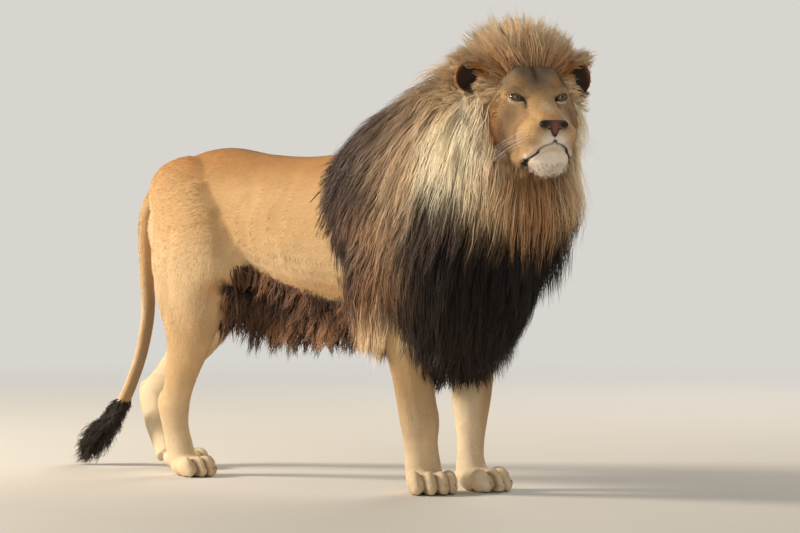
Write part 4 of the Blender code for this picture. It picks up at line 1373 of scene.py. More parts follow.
    def mark(self, skin: Object, mass: Object, fringe: Object) -> None:
        """Stores colour and lie of the coat on the skin's vertices."""
        points, normals = positions(skin.data), normals_of(skin.data)
        f, l, u = in_head(points).T
        hollow = in_ear_mouths(points)
        near_mane = self.nearness(points, mass, 0.004, 0.014) * (1 - hollow)
        near_fringe = self.nearness(points, fringe, 0.004, 0.014)
        on_head = ramp(-0.2, -0.16, f) * (u > -0.25) * (np.abs(l) < 0.22)
        tail = ramp(0.06, 0.045, distance_to(points, TAIL_LINE))
        face, bare = self.markings.head(points, surface(skin))
        colour = self.markings.body(points, normals)
        colour = mixed(colour, self.markings.tail(points, normals), tail)
        colour = mixed(colour, face, on_head)
        # painted shade: the skin under the mane takes the mane's colour darkened to 0.8, so the
        # gaps between locks read as deep hair
        colour = mixed(colour, 0.8 * self.markings.mane(points, Markings.ruff(points)), near_mane)
        # painted shade: near black under the belly fringe, darker than its hair, and the ears' dark
        # inner skin deepened in their mouths
        colour = Markings.over(colour, (self.markings.dark, near_fringe),
                               (paint(46, 32, 25), 0.9 * hollow))
        store(skin.data, coat=widened(colour, 1.0), in_mane=near_mane, in_fringe=near_fringe,
              upright=ramp(0.62, 0.5, points[:, 2]), on_face=on_head, bare=bare * on_head)

    @staticmethod
    def nearness(points: Array, other: Object, near: float, far: float) -> Array:
        """1 where a point is on the other object's surface, 0 beyond far."""
        tree = surface(other)
        return ramp(far, near, np.array([tree.find_nearest(Vector(p))[3] for p in points]))


# -------------------------------------------------------------- hair locks
def roots_on(mesh: Mesh, weight: Array, count: int,
             rng: np.random.Generator) -> tuple[Array, Array]:
    """Random places on a mesh.

    Args:
        mesh: the surface.
        weight: how likely each vertex's surroundings are.
        count: how many places.
        rng: the source of chance.

    Returns:
        The places and the way the surface faces there.
    """
    corners, area = triangles_of(mesh)
    area = area * weight[corners].mean(axis=1)
    chosen = corners[rng.choice(len(corners), size=count, p=area / area.sum())]
    share = rng.dirichlet((1, 1, 1), size=count)
    places, facing = (np.einsum("nk,nkd->nd", share, values[chosen])
                      for values in (positions(mesh), normals_of(mesh)))
    return places, unit(facing)


def nearest(points: Array, places: Array) -> list[int]:
    """For each point, the number of the place nearest to it."""
    finder = KDTree(len(places))
    for index, place in enumerate(places):
        finder.insert(place, index)
    finder.balance()
    return [finder.find(point)[1] for point in points]


def track(tree: BVHTree, root: Array, normal: Array, length: float, steps: int,
          lie: Lie, hang: float, free: bool) -> tuple[Array, Array]:
    """Follows the lie of the hair over a surface from one root.

    Where the surface turns under, the hair leaves it and hangs.

    Args:
        tree: the surface.
        root: where the hair grows.
        normal: the way the surface faces there.
        length: how far to go.
        steps: in how many steps.
        lie: gives the direction wanted at a place and normal.
        hang: how fast hair that has left the surface turns down.
        free: whether it leaves the surface at its root.

    Returns:
        The places along the hair and the way out of the surface at each.
    """
    place, out = np.array(Vector(root)), np.array(Vector(normal))
    heading = None
    places, outs = [place], [out]
    step = length / steps
    for _ in range(steps):
        wanted = lie(place[None], out[None])[0]
        if not free:
            wanted = along_surface(wanted[None], out[None])[0]
            wanted = wanted / max(np.linalg.norm(wanted), 1e-6)
        heading = wanted if heading is None else 0.45 * heading + 0.55 * wanted
        if free:
            heading = heading + np.array((0, 0, -hang))
        heading = heading / max(np.linalg.norm(heading), 1e-6)
        place = place + heading * step
        if not free:
            near, facing, _, distance = tree.find_nearest(Vector(place))
            facing = np.array(facing)
            free = facing[2] < -0.55 or facing @ out < 0.35 or distance > step
            if not free:
                place = np.array(near)
                out = facing * 0.6 + out * 0.4
                out /= np.linalg.norm(out)
        places.append(place)
        outs.append(out)
    return np.array(places), np.array(outs)


@dataclass
class Locks:
    """Many locks of hair that fill a layer over a surface, in clumps.

    Each guide is followed over the surface; its hairs run beside it and draw
    together towards its tip.
    """

    guides: int
    hairs: int                 # in all
    width: float
    steps: int = 9             # places along a guide
    rings: int = 4             # places along a hair
    draw_in: float = 0.6       # how far a clump draws together at the tip
    wave: float = 0.006
    frizz: float = 0.003
    seed: int = 1
    hang: float = 0.5          # how fast free hair turns down
    stands: bool = False       # whether it leaves the surface at its root

    def grow(self, skin: Object, base: Object, weight: Array, lie: Lie, length: Measure,
             depth: Measure) -> dict[str, Array]:
        """Grows the hairs.

        Args:
            skin: what the hairs root on.
            base: the smooth surface that their paths follow.
            weight: for each vertex of the skin, how dense the hairs are.
            lie: the direction of the coat at a place and normal.
            length: the hairs' length at each root.
            depth: how high over the base the tips stand at each root.

        Returns:
            Places (hair, ring, 3), the way out at each, and facts about each hair.
        """
        rng = np.random.default_rng(self.seed)
        tree = surface(base)
        at, facing = roots_on(skin.data, weight, self.guides, rng)
        reach = length(at) * rng.uniform(0.8, 1.15, self.guides)
        paths = [track(tree, *guide, self.steps, lie, self.hang, self.stands)
                 for guide in zip(at, facing, reach)]
        points, outs = (np.array(rows) for rows in zip(*paths))
        t = np.linspace(0, 1, self.steps + 1)
        across = unit(np.cross(outs, np.gradient(points, axis=1)))
        phase = rng.uniform(0, 2 * math.pi, (self.guides, 1))
        swing = np.sin(phase + t * rng.uniform(2.5, 5.0, (self.guides, 1))) - np.sin(phase)
        points += across * (swing * self.wave * rng.uniform(0.3, 1.3, (self.guides, 1)))[..., None]
        tall = depth(at) * rng.uniform(0.45, 1.0, self.guides)
        roots, _ = roots_on(skin.data, weight, self.hairs, rng)
        near = np.array(nearest(roots, at))

        s = np.linspace(0, 1, self.rings)
        stretch = rng.uniform(0.72, 1.04, (self.hairs, 1))
        reading = np.clip(s * stretch, 0, 1) * self.steps
        low = np.minimum(reading.astype(int), self.steps - 1)
        share = (reading - low)[..., None]
        hair = np.arange(self.hairs)[:, None]
        path, out = (rows[near][hair, low] * (1 - share) + rows[near][hair, low + 1] * share
                     for rows in (points, outs))
        out = unit(out)
        gather = self.draw_in * rng.uniform(0.4, 1.25, self.guides)[near][:, None, None]
        path = path + (roots - at[near])[:, None] * (1 - gather * (s ** 1.2)[None, :, None])
        height = (tall[near] * rng.uniform(0.25, 1.08, self.hairs))[:, None]
        path = path + out * (height * (1 - (1 - s) ** 1.8)[None])[..., None]
        kink = rng.normal(size=(self.hairs, self.rings, 3)) * self.frizz
        path[:, 1:] += kink[:, 1:] * (0.4 + 0.8 * s[1:])[None, :, None]
        path[:, 0] -= out[:, 0] * 0.004
        path[..., 2] = np.maximum(path[..., 2], 0.003)
        wide = np.maximum(np.abs(path[..., 1]), MANE_HALF_WIDTH)
        path[..., 1] *= (MANE_HALF_WIDTH + 0.5 * (wide - MANE_HALF_WIDTH)) / wide
        thickness = self.width * rng.uniform(0.65, 1.25, (self.hairs, 1))
        taper = np.interp(s, (0, 0.25, 0.7, 1.0), (0.75, 1.0, 0.72, 0.05))
        tone = 0.5 * rng.random(self.guides)[near] + 0.5 * rng.random(self.hairs)
        return {"points": path, "outs": out, "width": thickness * taper[None], "roots": roots,
                "tone": np.clip(tone, 0, 1), "along": np.tile(s, (self.hairs, 1))}


def new_tree(name: str, **inputs: str) -> tuple[Weaver, list[Wire]]:
    """Begins a Geometry Nodes tree.

    Args:
        name: the tree's name.
        inputs: the kind of socket of each named input.

    Returns:
        What adds nodes to the tree, and the wires of its inputs.
    """
    tree = bpy.data.node_groups.new(name, "GeometryNodeTree")
    for title, kind in inputs.items():
        tree.interface.new_socket(title, in_out="INPUT", socket_type="NodeSocket" + kind)
    tree.interface.new_socket("Hair", in_out="OUTPUT", socket_type="NodeSocketGeometry")
    given = tree.nodes.new("NodeGroupInput")
    return Weaver(tree), [Wire(tree, given.outputs[k]) for k in range(len(inputs))]


def end_tree(weave: Weaver, mesh: Wire, patch: Wire, material: Wire) -> Tree:
    """Ends a tree: real meshes, each hair's patch of OFBake and the material.

    Args:
        weave: what adds nodes to the tree.
        mesh: the hairs, which bring along, around and root_uv.
        patch: how far one hair reaches on the map.
        material: the hairs' material.

    Returns:
        The finished tree.
    """
    mesh = weave.node("GeometryNodeRealizeInstances", None, {0: mesh})
    place = weave.node("ShaderNodeCombineXYZ", None,
                       {0: weave.named("along"), 1: weave.named("around")})
    place = weave.node("ShaderNodeVectorMath", {"operation": "SCALE"}, {0: place, "Scale": patch})
    place = weave.vector("ADD", place, weave.named("root_uv", "FLOAT_VECTOR"))
    mesh = weave.node("GeometryNodeStoreNamedAttribute",
                      {"data_type": "FLOAT2", "domain": "CORNER"},
                      {0: mesh, "Name": "OFBake", "Value": place})
    mesh = weave.node("GeometryNodeSetMaterial", None, {0: mesh, "Material": material})
    weave.lead(mesh, weave.tree.nodes.new("NodeGroupOutput"))
    return weave.tree


def lock_tree() -> Tree:
    """Geometry Nodes that turn paths of vertices into closed, flat, tapered locks."""
    weave, (paths, flatness, patch, hair) = new_tree(
        "locks", Paths="Geometry", Flatness="Float", Patch="Float", Material="Material")
    curve = weave.node("GeometryNodeMeshToCurve", None, {0: paths})
    curve = weave.node("GeometryNodeSetCurveNormal", {"mode": "FREE"},
                       {0: curve, "Normal": weave.named("out", "FLOAT_VECTOR")})
    ring = weave.node("GeometryNodeCurvePrimitiveCircle", {"mode": "RADIUS"},
                      {"Resolution": 3, "Radius": 1.0})
    turn = weave.node("ShaderNodeCombineXYZ", None, {1: 1.0, 2: 1.0, 0: flatness})
    ring = weave.node("GeometryNodeTransform", None, {0: ring, "Scale": turn})
    ring = weave.node("GeometryNodeStoreNamedAttribute", {"data_type": "FLOAT", "domain": "POINT"},
                      {0: ring, "Name": "around",
                       "Value": weave.node("GeometryNodeInputIndex") * 0.5})
    mesh = weave.node("GeometryNodeCurveToMesh", None,
                      {0: curve, 1: ring, "Scale": weave.named("width"), "Fill Caps": True})
    mesh = weave.node("GeometryNodeSetShadeSmooth", None, {0: mesh, "Shade Smooth": True})
    return end_tree(weave, mesh, patch, hair)


def run_tree(obj: Object, tree: Tree, **inputs: object) -> Object:
    """Runs a Geometry Nodes tree on an object and keeps the result as its mesh.

    Args:
        obj: the object that the tree works on.
        tree: the tree.
        inputs: the value of each named input.

    Returns:
        The object, with a plain mesh and no modifier.
    """
    modifier = obj.modifiers.new(tree.name, "NODES")
    modifier.node_group = tree
    for item in tree.interface.items_tree:
        if item.in_out == "INPUT" and item.name in inputs:
            modifier[item.identifier] = inputs[item.name]
    apply_modifiers(obj)
    return obj


def locks_object(name: str, grown: dict[str, Array], colours: Array, uv: Array, tree: Tree,
                 hair: Material, chosen: Array | slice = slice(None),
                 flatness: float = 0.24) -> Object:
    """Makes one piece of the chosen hairs.

    Args:
        name: the piece's name.
        grown: what Locks.grow gave.
        colours: one colour for each hair, or for each hair and ring.
        uv: each root's place on the unwrap.
        tree: the lock_tree.
        hair: the hair's material.
        chosen: which hairs the piece takes.
        flatness: thickness over width.

    Returns:
        The piece, a closed mesh.
    """
    points = grown["points"][chosen]
    count, rings = points.shape[:2]
    if colours.ndim == 2:
        colours = np.repeat(colours[:, None], grown["points"].shape[1], axis=1)
    first = np.arange(count * rings).reshape(count, rings)
    edges = np.stack([first[:, :-1], first[:, 1:]], axis=-1).reshape(-1, 2)
    obj = bare_object(name, points.reshape(-1, 3), edges, np.zeros((0, 3), int))
    store(obj.data, coat=widened(colours[chosen].reshape(-1, 3), 1.0),
          out=grown["outs"][chosen].reshape(-1, 3), width=grown["width"][chosen].ravel() / 2,
          along=grown["along"][chosen].ravel(), tone=np.repeat(grown["tone"][chosen], rings),
          root_uv=widened(np.repeat(uv[chosen], rings, axis=0), 0.0))
    return run_tree(obj, tree, Flatness=flatness, Patch=PATCH, Material=hair)


def in_ear_mouths(points: Array) -> Array:
    """How far each point lies in the hollow of an ear."""
    inside = np.zeros(len(points))
    for _, local, _ in in_ears(points):
        x, y, z = local.T
        mouth = ramp(0.048, 0.04, np.hypot(y, z)) * ramp(-0.034, -0.028, x)
        inside = np.maximum(inside, mouth * ramp(0.034, 0.026, x))
    return inside


def clear_of_ears(points: Array) -> Array:
    """Which hairs, given as (hair, ring, 3), leave the room before both ears open."""
    clear = np.ones(len(points), bool)
    for _, local, _ in in_ears(points.reshape(-1, 3)):
        x, y, z = local.T
        before = (x > -0.012) & (x < 0.1) & (np.hypot(y, z) < 0.056 - 0.25 * np.maximum(x, 0))
        clear &= ~(before & (z < 0.024)).reshape(points.shape[:2]).any(axis=1)
    return clear


def wrap(points: Array, start: Sequence[float], end: Sequence[float]) -> Array:
    """The unwrap of a body part round its own axis.

    Args:
        points: places on the part.
        start: one end of the axis.
        end: the other end.

    Returns:
        (along the axis, round it), each from 0 to 1.
    """
    axis = np.array(end, float) - np.array(start, float)
    length = np.linalg.norm(axis)
    axis /= length
    side = np.cross(axis, (0, 0, 1)) if abs(axis[2]) < 0.9 else np.array((0, 1.0, 0))
    side /= np.linalg.norm(side)
    top = np.cross(side, axis)
    offset = points - np.array(start)
    along = np.clip(offset @ axis / length, 0, 1)
    angle = np.arctan2(offset @ side, offset @ top) / (2 * math.pi) + 0.5
    return np.column_stack([0.02 + 0.95 * along, 0.02 + 0.95 * angle])


def head_unwrap(points: Array) -> Array:
    """The head round its own axis."""
    start, end = (tuple(head_place() @ Vector((forward, 0, -0.06))) for forward in (-0.25, 0.16))
    return wrap(points, start, end)


@dataclass
class Mane:
    """The mane in pieces: crown and ruff, the two sides of the neck, and the bib."""

    markings: Markings
    finish: HairFinish
    locks: Locks = field(default_factory=lambda: Locks(2800, 28_000, 0.0031))
    crown_locks: Locks = field(default_factory=lambda: Locks(
        900, 9400, 0.0026, steps=7, draw_in=0.45, wave=0.01, frizz=0.0035, seed=21, hang=0.0,
        stands=True))
    colour_stray: float = 0.022      # how far a lock's colour comes from beside it

    def lie(self, points: Array, normals: Array) -> Array:
        """Which way the hair runs: out from the face, then down and back."""
        f, l, u = in_head(points).T
        out = turned(unit(np.column_stack([np.full(len(points), -0.02), l, u + 0.04])))
        back = turned(each((-1.0, 0, 0), points))
        down = each((0.0, 0, -1.0), points)
        ruff = mixed(out * 0.3 + down * 0.95 + back * 0.1, out * 0.9 + back * 0.55,
                     ramp(0.0, 0.1, u))
        neck = mixed(down * 0.85 + np.array((-0.52, 0, 0)), down + np.array((-0.1, 0, 0)),
                     ramp(0.8, 0.6, points[:, 2]))
        near_face = ramp(-0.34, -0.2, f) * ramp(-0.42, -0.3, u)
        neck = mixed(neck, down, ramp(-0.2, -0.05, f) * (1 - near_face))
        return mixed(neck, ruff, near_face)

    @staticmethod
    def fan(points: Array, normals: Array) -> Array:
        """The crown's way: radially up and out from the brow, leaning back a little."""
        _, l, u = in_head(points).T
        return turned(unit(np.column_stack([np.full(len(points), -0.1), l * 1.45, u + 0.015])))

    @staticmethod
    def length(points: Array) -> Array:
        """How long the hair is at each root."""
        crown = ramp(0.02, 0.12, in_head(points)[:, 2])
        hem = ramp(0.64, 0.42, points[:, 2])
        return 0.175 - 0.03 * crown - 0.105 * hem

    @staticmethod
    def depth(points: Array) -> Array:
        """How high the tips stand over the mass."""
        f, _, u = in_head(points).T
        crown = ramp(0.03, 0.13, u) * ramp(-0.4, -0.25, f)
        ruff = ramp(-0.3, -0.2, f) * ramp(-0.42, -0.3, u)
        return 0.034 + 0.045 * crown + 0.02 * ruff * (1 - crown)

    @staticmethod
    def crown_length(points: Array) -> Array:
        """How long the crown's hair is: longest on top, shortest over the ears."""
        _, l, u = in_head(points).T
        beside = ramp(0.1, 0.15, np.abs(l))
        return (0.092 + 0.024 * ramp(0.085, 0.15, u)) * (1 - 0.45 * beside)

    @staticmethod
    def crown_weight(points: Array, in_mane: Array) -> Array:
        """Where the standing hair of the crown roots."""
        f, l, u = in_head(points).T
        near = ramp(-0.36, -0.24, f) * ramp(0.035, 0.085, u)
        scalp = near * np.maximum(in_mane, (u > 0.095) & (f < -0.075)) * (np.abs(l) < 0.18)
        behind_ears = (ramp(-0.3, -0.22, f) * (f < -0.14) * ramp(-0.03, 0.03, u)
                       * ramp(0.09, 0.13, np.abs(l)) * in_mane)
        return np.maximum(scalp, behind_ears)

    def build(self, skin: Object, mass: Object, tree: Tree) -> list[Object]:
        """Builds the pieces of the mane.

        Args:
            skin: what the hairs root on.
            mass: the mane's smooth mass, which their paths follow.
            tree: the lock_tree.

        Returns:
            The pieces.
        """
        in_mane = read_values(skin.data, "in_mane")
        grown = self.locks.grow(skin, mass, (in_mane > 0.5).astype(float), self.lie, self.length,
                                self.depth)
        crown = self.crown_locks.grow(skin, mass, self.crown_weight(positions(skin.data), in_mane),
                                      self.fan, self.crown_length, always(0.012))
        f, l, u = in_head(grown["roots"]).T
        _, y, z = grown["roots"].T
        clear = clear_of_ears(grown["points"])
        on_ruff = (f > -0.27) & (u > -0.36)
        on_bib = ~on_ruff & (z < 0.66)
        hair = self.finish.material()
        pieces = []
        for part, inside, right in (("ruff", on_ruff & clear, l < 0), ("bib", on_bib, y < 0),
                                    ("neck", ~on_ruff & ~on_bib & clear, y < 0)):
            for side, there in (("right", right), ("left", ~right)):
                name = f"mane_{part}_{side}"
                pieces.append(self.piece(name, grown, inside & there, tree, hair))
        clear = clear_of_ears(crown["points"])
        return pieces + [self.piece("mane_crown", crown, clear, tree, hair)]

    def piece(self, name: str, grown: dict[str, Array], chosen: Array, tree: Tree,
              hair: Material) -> Object:
        """One piece of the mane, in the colours of its patches."""
        places = grown["points"]
        stray = np.random.default_rng(len(places)).normal(size=(len(places), 1, 3))
        read_at = places * 0.6 + grown["roots"][:, None] * 0.4 + self.colour_stray * stray
        ruff = np.repeat(Markings.ruff(grown["roots"]), places.shape[1])
        colours = self.markings.mane(read_at.reshape(-1, 3), ruff).reshape(places.shape)
        uv = wrap(grown["roots"], (0.1, 0, 0.75), (1.0, -0.12, 1.1))
        return locks_object(name, grown, colours, uv, tree, hair, np.nonzero(chosen)[0])


@dataclass
class BellyFringe:
    """The dark hair along the belly and in the fold of the flank."""

    finish: HairFinish
    locks: Locks = field(default_factory=lambda: Locks(
        700, 7000, 0.0032, wave=0.009, frizz=0.004, draw_in=0.85, seed=5))
    dark: Array = field(default_factory=lambda: np.array(paint(92, 66, 50)))
    ruddy: Array = field(default_factory=lambda: np.array(paint(166, 120, 84)))

    @staticmethod
    def lie(points: Array, normals: Array) -> Array:
        """Down, and a little towards the tail."""
        sway = soft_noise(points, 9.0, 12)[:, None] * np.array((0.35, 0.0, 0.0))
        return each((-0.32, 0.0, -1.0), points) + normals * 0.2 + sway

    @staticmethod
    def length(points: Array) -> Array:
        """How long the hair is: longest at the fold of the flank, in uneven locks."""
        uneven = 1 + 0.35 * soft_noise(points, 24.0, 14)
        return (0.06 + 0.03 * ramp(0.05, -0.2, points[:, 0])) * uneven

    def build(self, skin: Object, mass: Object, tree: Tree) -> Object:
        """Builds the fringe over its mass."""
        x, _, z = positions(skin.data).T
        belly = np.interp(x, [row[0] for row in TRUNK], [row[2] - row[4] for row in TRUNK])
        side = (np.abs(z - belly - 0.01) < 0.042) & (np.abs(x - 0.09) < 0.27)
        inside = np.maximum(read_values(skin.data, "in_fringe"), side)
        grown = self.locks.grow(skin, mass, (inside > 0.4).astype(float), self.lie, self.length,
                                always(0.03))
        waves = ramp(-0.2, 0.9, soft_noise(grown["roots"], 7.0, 8))
        colours = mixed(self.dark, self.ruddy, waves)
        uv = wrap(grown["roots"], (-0.4, 0, 0.52), (0.45, 0, 0.48))
        return locks_object("belly_fringe_hair", grown, colours, uv, tree, self.finish.material())


@dataclass
class TailTuft:
    """The dark tuft at the end of the tail, drawn to a point."""

    finish: HairFinish
    top: float = 0.215
    locks: Locks = field(default_factory=lambda: Locks(
        220, 3000, 0.0034, steps=6, wave=0.005, frizz=0.004, draw_in=0.1, seed=9, hang=0.0))

    @staticmethod
    def lie(points: Array, normals: Array) -> Array:
        """Along the tail, towards its tip."""
        stations = np.array(TAIL)[:, :3]
        ways = unit(np.gradient(stations, axis=0))
        return ways[np.argmin(np.linalg.norm(points[:, None] - stations, axis=2), axis=1)]

    def build(self, skin: Object, tree: Tree) -> Object:
        """Builds the tuft round the end of the tail."""
        points = positions(skin.data)
        z = points[:, 2]
        weight = (distance_to(points, TAIL_LINE[7:]) < 0.04) & (z < self.top) & (z > 0.03)
        grown = self.locks.grow(skin, skin, weight.astype(float), self.lie,
                                lambda at: 0.048 + 0.012 * ramp(0.2, 0.1, at[:, 2]),
                                lambda at: 0.013 + 0.036 * ramp(0.19, 0.1, at[:, 2]))
        uv = wrap(grown["roots"], (-0.78, 0, 0.2), (-0.93, -0.02, 0.02))
        return locks_object("tail_tuft_hair", grown, each(Markings.dark, uv), uv, tree,
                            self.finish.material())


def tuft_tree() -> Tree:
    """Geometry Nodes that lay tufts over a skin by its own attributes.

    The skin gives density, lie, facing, coat_length, coat_width, coat and root_uv.
    """
    weave, (skin, tuft, seed, patch, scatter, fur) = new_tree(
        "tufts", Skin="Geometry", Tuft="Object", Seed="Int", Patch="Float", Scatter="Float",
        Material="Material")

    def chance(low: float, high: float) -> Wire:
        """A random number for each tuft."""
        return weave.node("FunctionNodeRandomValue", {"data_type": "FLOAT"},
                          {"Min_001": low, "Max_001": high, "Seed": seed}, "Value_001")

    points = weave.node("GeometryNodeDistributePointsOnFaces", {"distribute_method": "RANDOM"},
                        {"Mesh": skin, "Density": weave.named("density"), "Seed": seed})
    points = weave.node("GeometryNodeStoreNamedAttribute", {"data_type": "FLOAT"},
                        {0: points, "Name": "tone", "Value": chance(0.0, 1.0)})
    stray = weave.node("FunctionNodeRandomValue", {"data_type": "FLOAT_VECTOR"},
                       {"Min": (-1, -1, -1), "Max": (1, 1, 1), "Seed": seed}, "Value")
    stray = weave.node("ShaderNodeVectorMath", {"operation": "SCALE"}, {0: stray, "Scale": scatter})
    way = weave.vector("ADD", weave.named("lie", "FLOAT_VECTOR"), stray)
    turn = weave.node("FunctionNodeAxesToRotation", {"primary_axis": "Z", "secondary_axis": "X"},
                      {0: weave.named("facing", "FLOAT_VECTOR"), 1: way})
    wide = weave.named("coat_width")
    size = weave.node("ShaderNodeCombineXYZ", None,
                      {0: weave.named("coat_length") * chance(0.65, 1.2), 1: wide, 2: wide})
    blade = weave.node("GeometryNodeObjectInfo", None, {0: tuft}, "Geometry")
    placed = weave.node("GeometryNodeInstanceOnPoints", None,
                        {0: points, "Instance": blade, "Rotation": turn, "Scale": size})
    return end_tree(weave, placed, patch, fur)


@dataclass
class ShortCoat:
    """The short coat's tufts over trunk, legs, tail and head."""

    finish: HairFinish
    trunk_tufts: int = 12_500
    leg_tufts: int = 13_500
    tail_tufts: int = 2400
    head_tufts: int = 14_800
    scatter: float = 0.22         # how far a tuft's way strays

    @staticmethod
    def tuft() -> Object:
        """One closed blade along +X, 1 long, its root a little below the skin."""
        bm, corners, faces = bmesh.new(), [], [(0, 2, 1)]
        for x, half, low, high in ((0.0, 0.34, -0.34, -0.2), (0.45, 0.5, -0.02, 0.09)):
            corners += [(x, -half, low), (x, half, low), (x, 0, high)]
        corners.append((1.0, 0.0, 0.15))
        for k in range(3):
            j = (k + 1) % 3
            faces += [(k, j, 3 + j), (k, 3 + j, 3 + k), (3 + k, 3 + j, 6)]
        verts = [bm.verts.new(corner) for corner in corners]
        for face in faces:
            bm.faces.new([verts[k] for k in face])
        tuft = from_bmesh("tuft", bm)
        x, y, _ = np.array(corners).T
        store(tuft.data, along=x, around=y + 0.5)
        return tuft

    @staticmethod
    def on_head(points: Array) -> Array:
        """Which of the points are on the head."""
        f, l, u = in_head(points).T
        return (f > -0.22) & (np.abs(l) < 0.25) & (u > -0.26) & (u < 0.18)

    def lie(self, points: Array, normals: Array) -> Array:
        """Which way the short coat runs: back and down, down the legs, forward on the paws."""
        z = points[:, 2]
        way = mixed(each((-1.0, 0.0, -0.22), points), each((-0.12, 0.0, -1.0), points),
                    ramp(0.82, 0.6, z))
        way = mixed(way, each((0.9, 0.0, -0.45), points), ramp(0.085, 0.05, z))
        on_tail = distance_to(points, TAIL_LINE) < 0.05
        way[on_tail] = TailTuft.lie(points[on_tail], normals[on_tail])
        f, l, u = in_head(points).T
        bridge = ramp(0.06, 0.02, np.abs(l)) * ramp(-0.1, -0.05, u)
        rise = -0.35 + 0.55 * bridge + 6.0 * np.maximum(u, 0)
        face = np.column_stack([-0.9 + 0 * f, l * 4.5, rise])
        chin = ramp(-0.165, -0.185, u)[:, None] * ramp(0.0, 0.05, f)[:, None]
        face = face * (1 - chin) + np.array((-0.15, 0, -1.0)) * chin
        on_head = self.on_head(points)
        way[on_head] = turned(face)[on_head]
        for side, local, away in in_ears(points):
            on_ear = (away < 0.068) & (local[:, 2] > -0.045)
            outwards = turned(unit(local * (0.2, 1, 1)) + (-0.8, 0, 0), ear_place(side))
            way[on_ear] = outwards[on_ear]
        return unit(along_surface(way, normals))

    def measures(self, points: Array, normals: Array) -> tuple[Array, Array]:
        """How long and how wide the tufts are at each vertex."""
        z = points[:, 2]
        length = np.full(len(points), 0.027)
        length = length - 0.01 * ramp(0.55, 0.3, z) - 0.008 * ramp(0.1, 0.05, z)
        length = length + 0.007 * ramp(0.2, 0.9, -normals[:, 0]) * ramp(0.35, 0.5, z)
        f, _, u = in_head(points).T
        face = 0.0052 + 0.01 * ramp(0.02, -0.09, f) + 0.004 * ramp(-0.16, -0.2, u)
        for _, _, away in in_ears(points):
            face = face * (1 - 0.35 * ramp(0.072, 0.06, away))
        on_head = self.on_head(points)
        length = np.where(on_head, face, length)
        width = np.where(on_head, 0.0013 + length * 0.06, 0.0026 - 0.0008 * ramp(0.5, 0.1, z))
        return length, width

    def build(self, skin: Object) -> list[Object]:
        """Lays the tufts over the skin, in four pieces."""
        tree, tuft, fur = tuft_tree(), self.tuft(), self.finish.material()
        points, normals = positions(skin.data), normals_of(skin.data)
        in_mane, in_fringe, bare, head = (
            read_values(skin.data, name) for name in ("in_mane", "in_fringe", "bare", "on_face"))
        free = np.clip((1 - in_mane) * (1 - in_fringe), 0, 1) * (1 - np.clip(bare * 2, 0, 1))
        free = free * (points[:, 2] > 0.014)
        tail = ramp(0.055, 0.045, distance_to(points, TAIL_LINE))
        legs = ramp(0.585, 0.575, points[:, 2])
        body = (1 - head) * (1 - tail)
        parts = (
            ("coat_trunk", body * (1 - legs), self.trunk_tufts,
             wrap(points, (-0.65, 0, 0.8), (0.5, 0, 0.8))),
            ("coat_legs", body * legs, self.leg_tufts, self.leg_unwrap(points)),
            ("coat_tail", (1 - head) * tail, self.tail_tufts,
             wrap(points, (-0.66, 0, 0.92), (-0.75, 0, 0.05))),
            ("coat_head", head, self.head_tufts, head_unwrap(points)))
        lie = self.lie(points, normals)
        length, width = self.measures(points, normals)
        closer = 1 + 0.9 * ramp(-0.1, -0.02, in_head(points)[:, 0]) * head
        made = []
        for seed, (name, weight, count, uv) in enumerate(parts):
            piece = new_object(name, skin.data.copy())
            weight = np.clip(weight * free, 0, 1) * closer
            corners, area = triangles_of(piece.data)
            spread = float((area / 2 * weight[corners].mean(axis=1)).sum())
            store(piece.data, density=weight * count / spread, lie=lie, facing=normals,
                  coat_length=length, coat_width=width, root_uv=widened(uv, 0.0))
            made.append(run_tree(piece, tree, Tuft=tuft, Seed=seed, Patch=PATCH,
                                 Scatter=self.scatter, Material=fur))
        discard(tuft)
        return made

    @staticmethod
    def leg_unwrap(points: Array) -> Array:
        """Each leg round its own axis, in its own quarter of the unwrap."""
        uv = np.zeros((len(points), 2))
        for column, legs in enumerate((HIND_LEGS, FORE_LEGS)):
            for row, side in enumerate(Side):
                chosen = ((points[:, 0] > 0.2) == column) & ((points[:, 1] > 0) == row)
                cell = wrap(points[chosen], legs[side][2][:3], (*legs[side][-1][:2], 0.0))
                uv[chosen] = (cell + (column, row)) / 2
        return uv


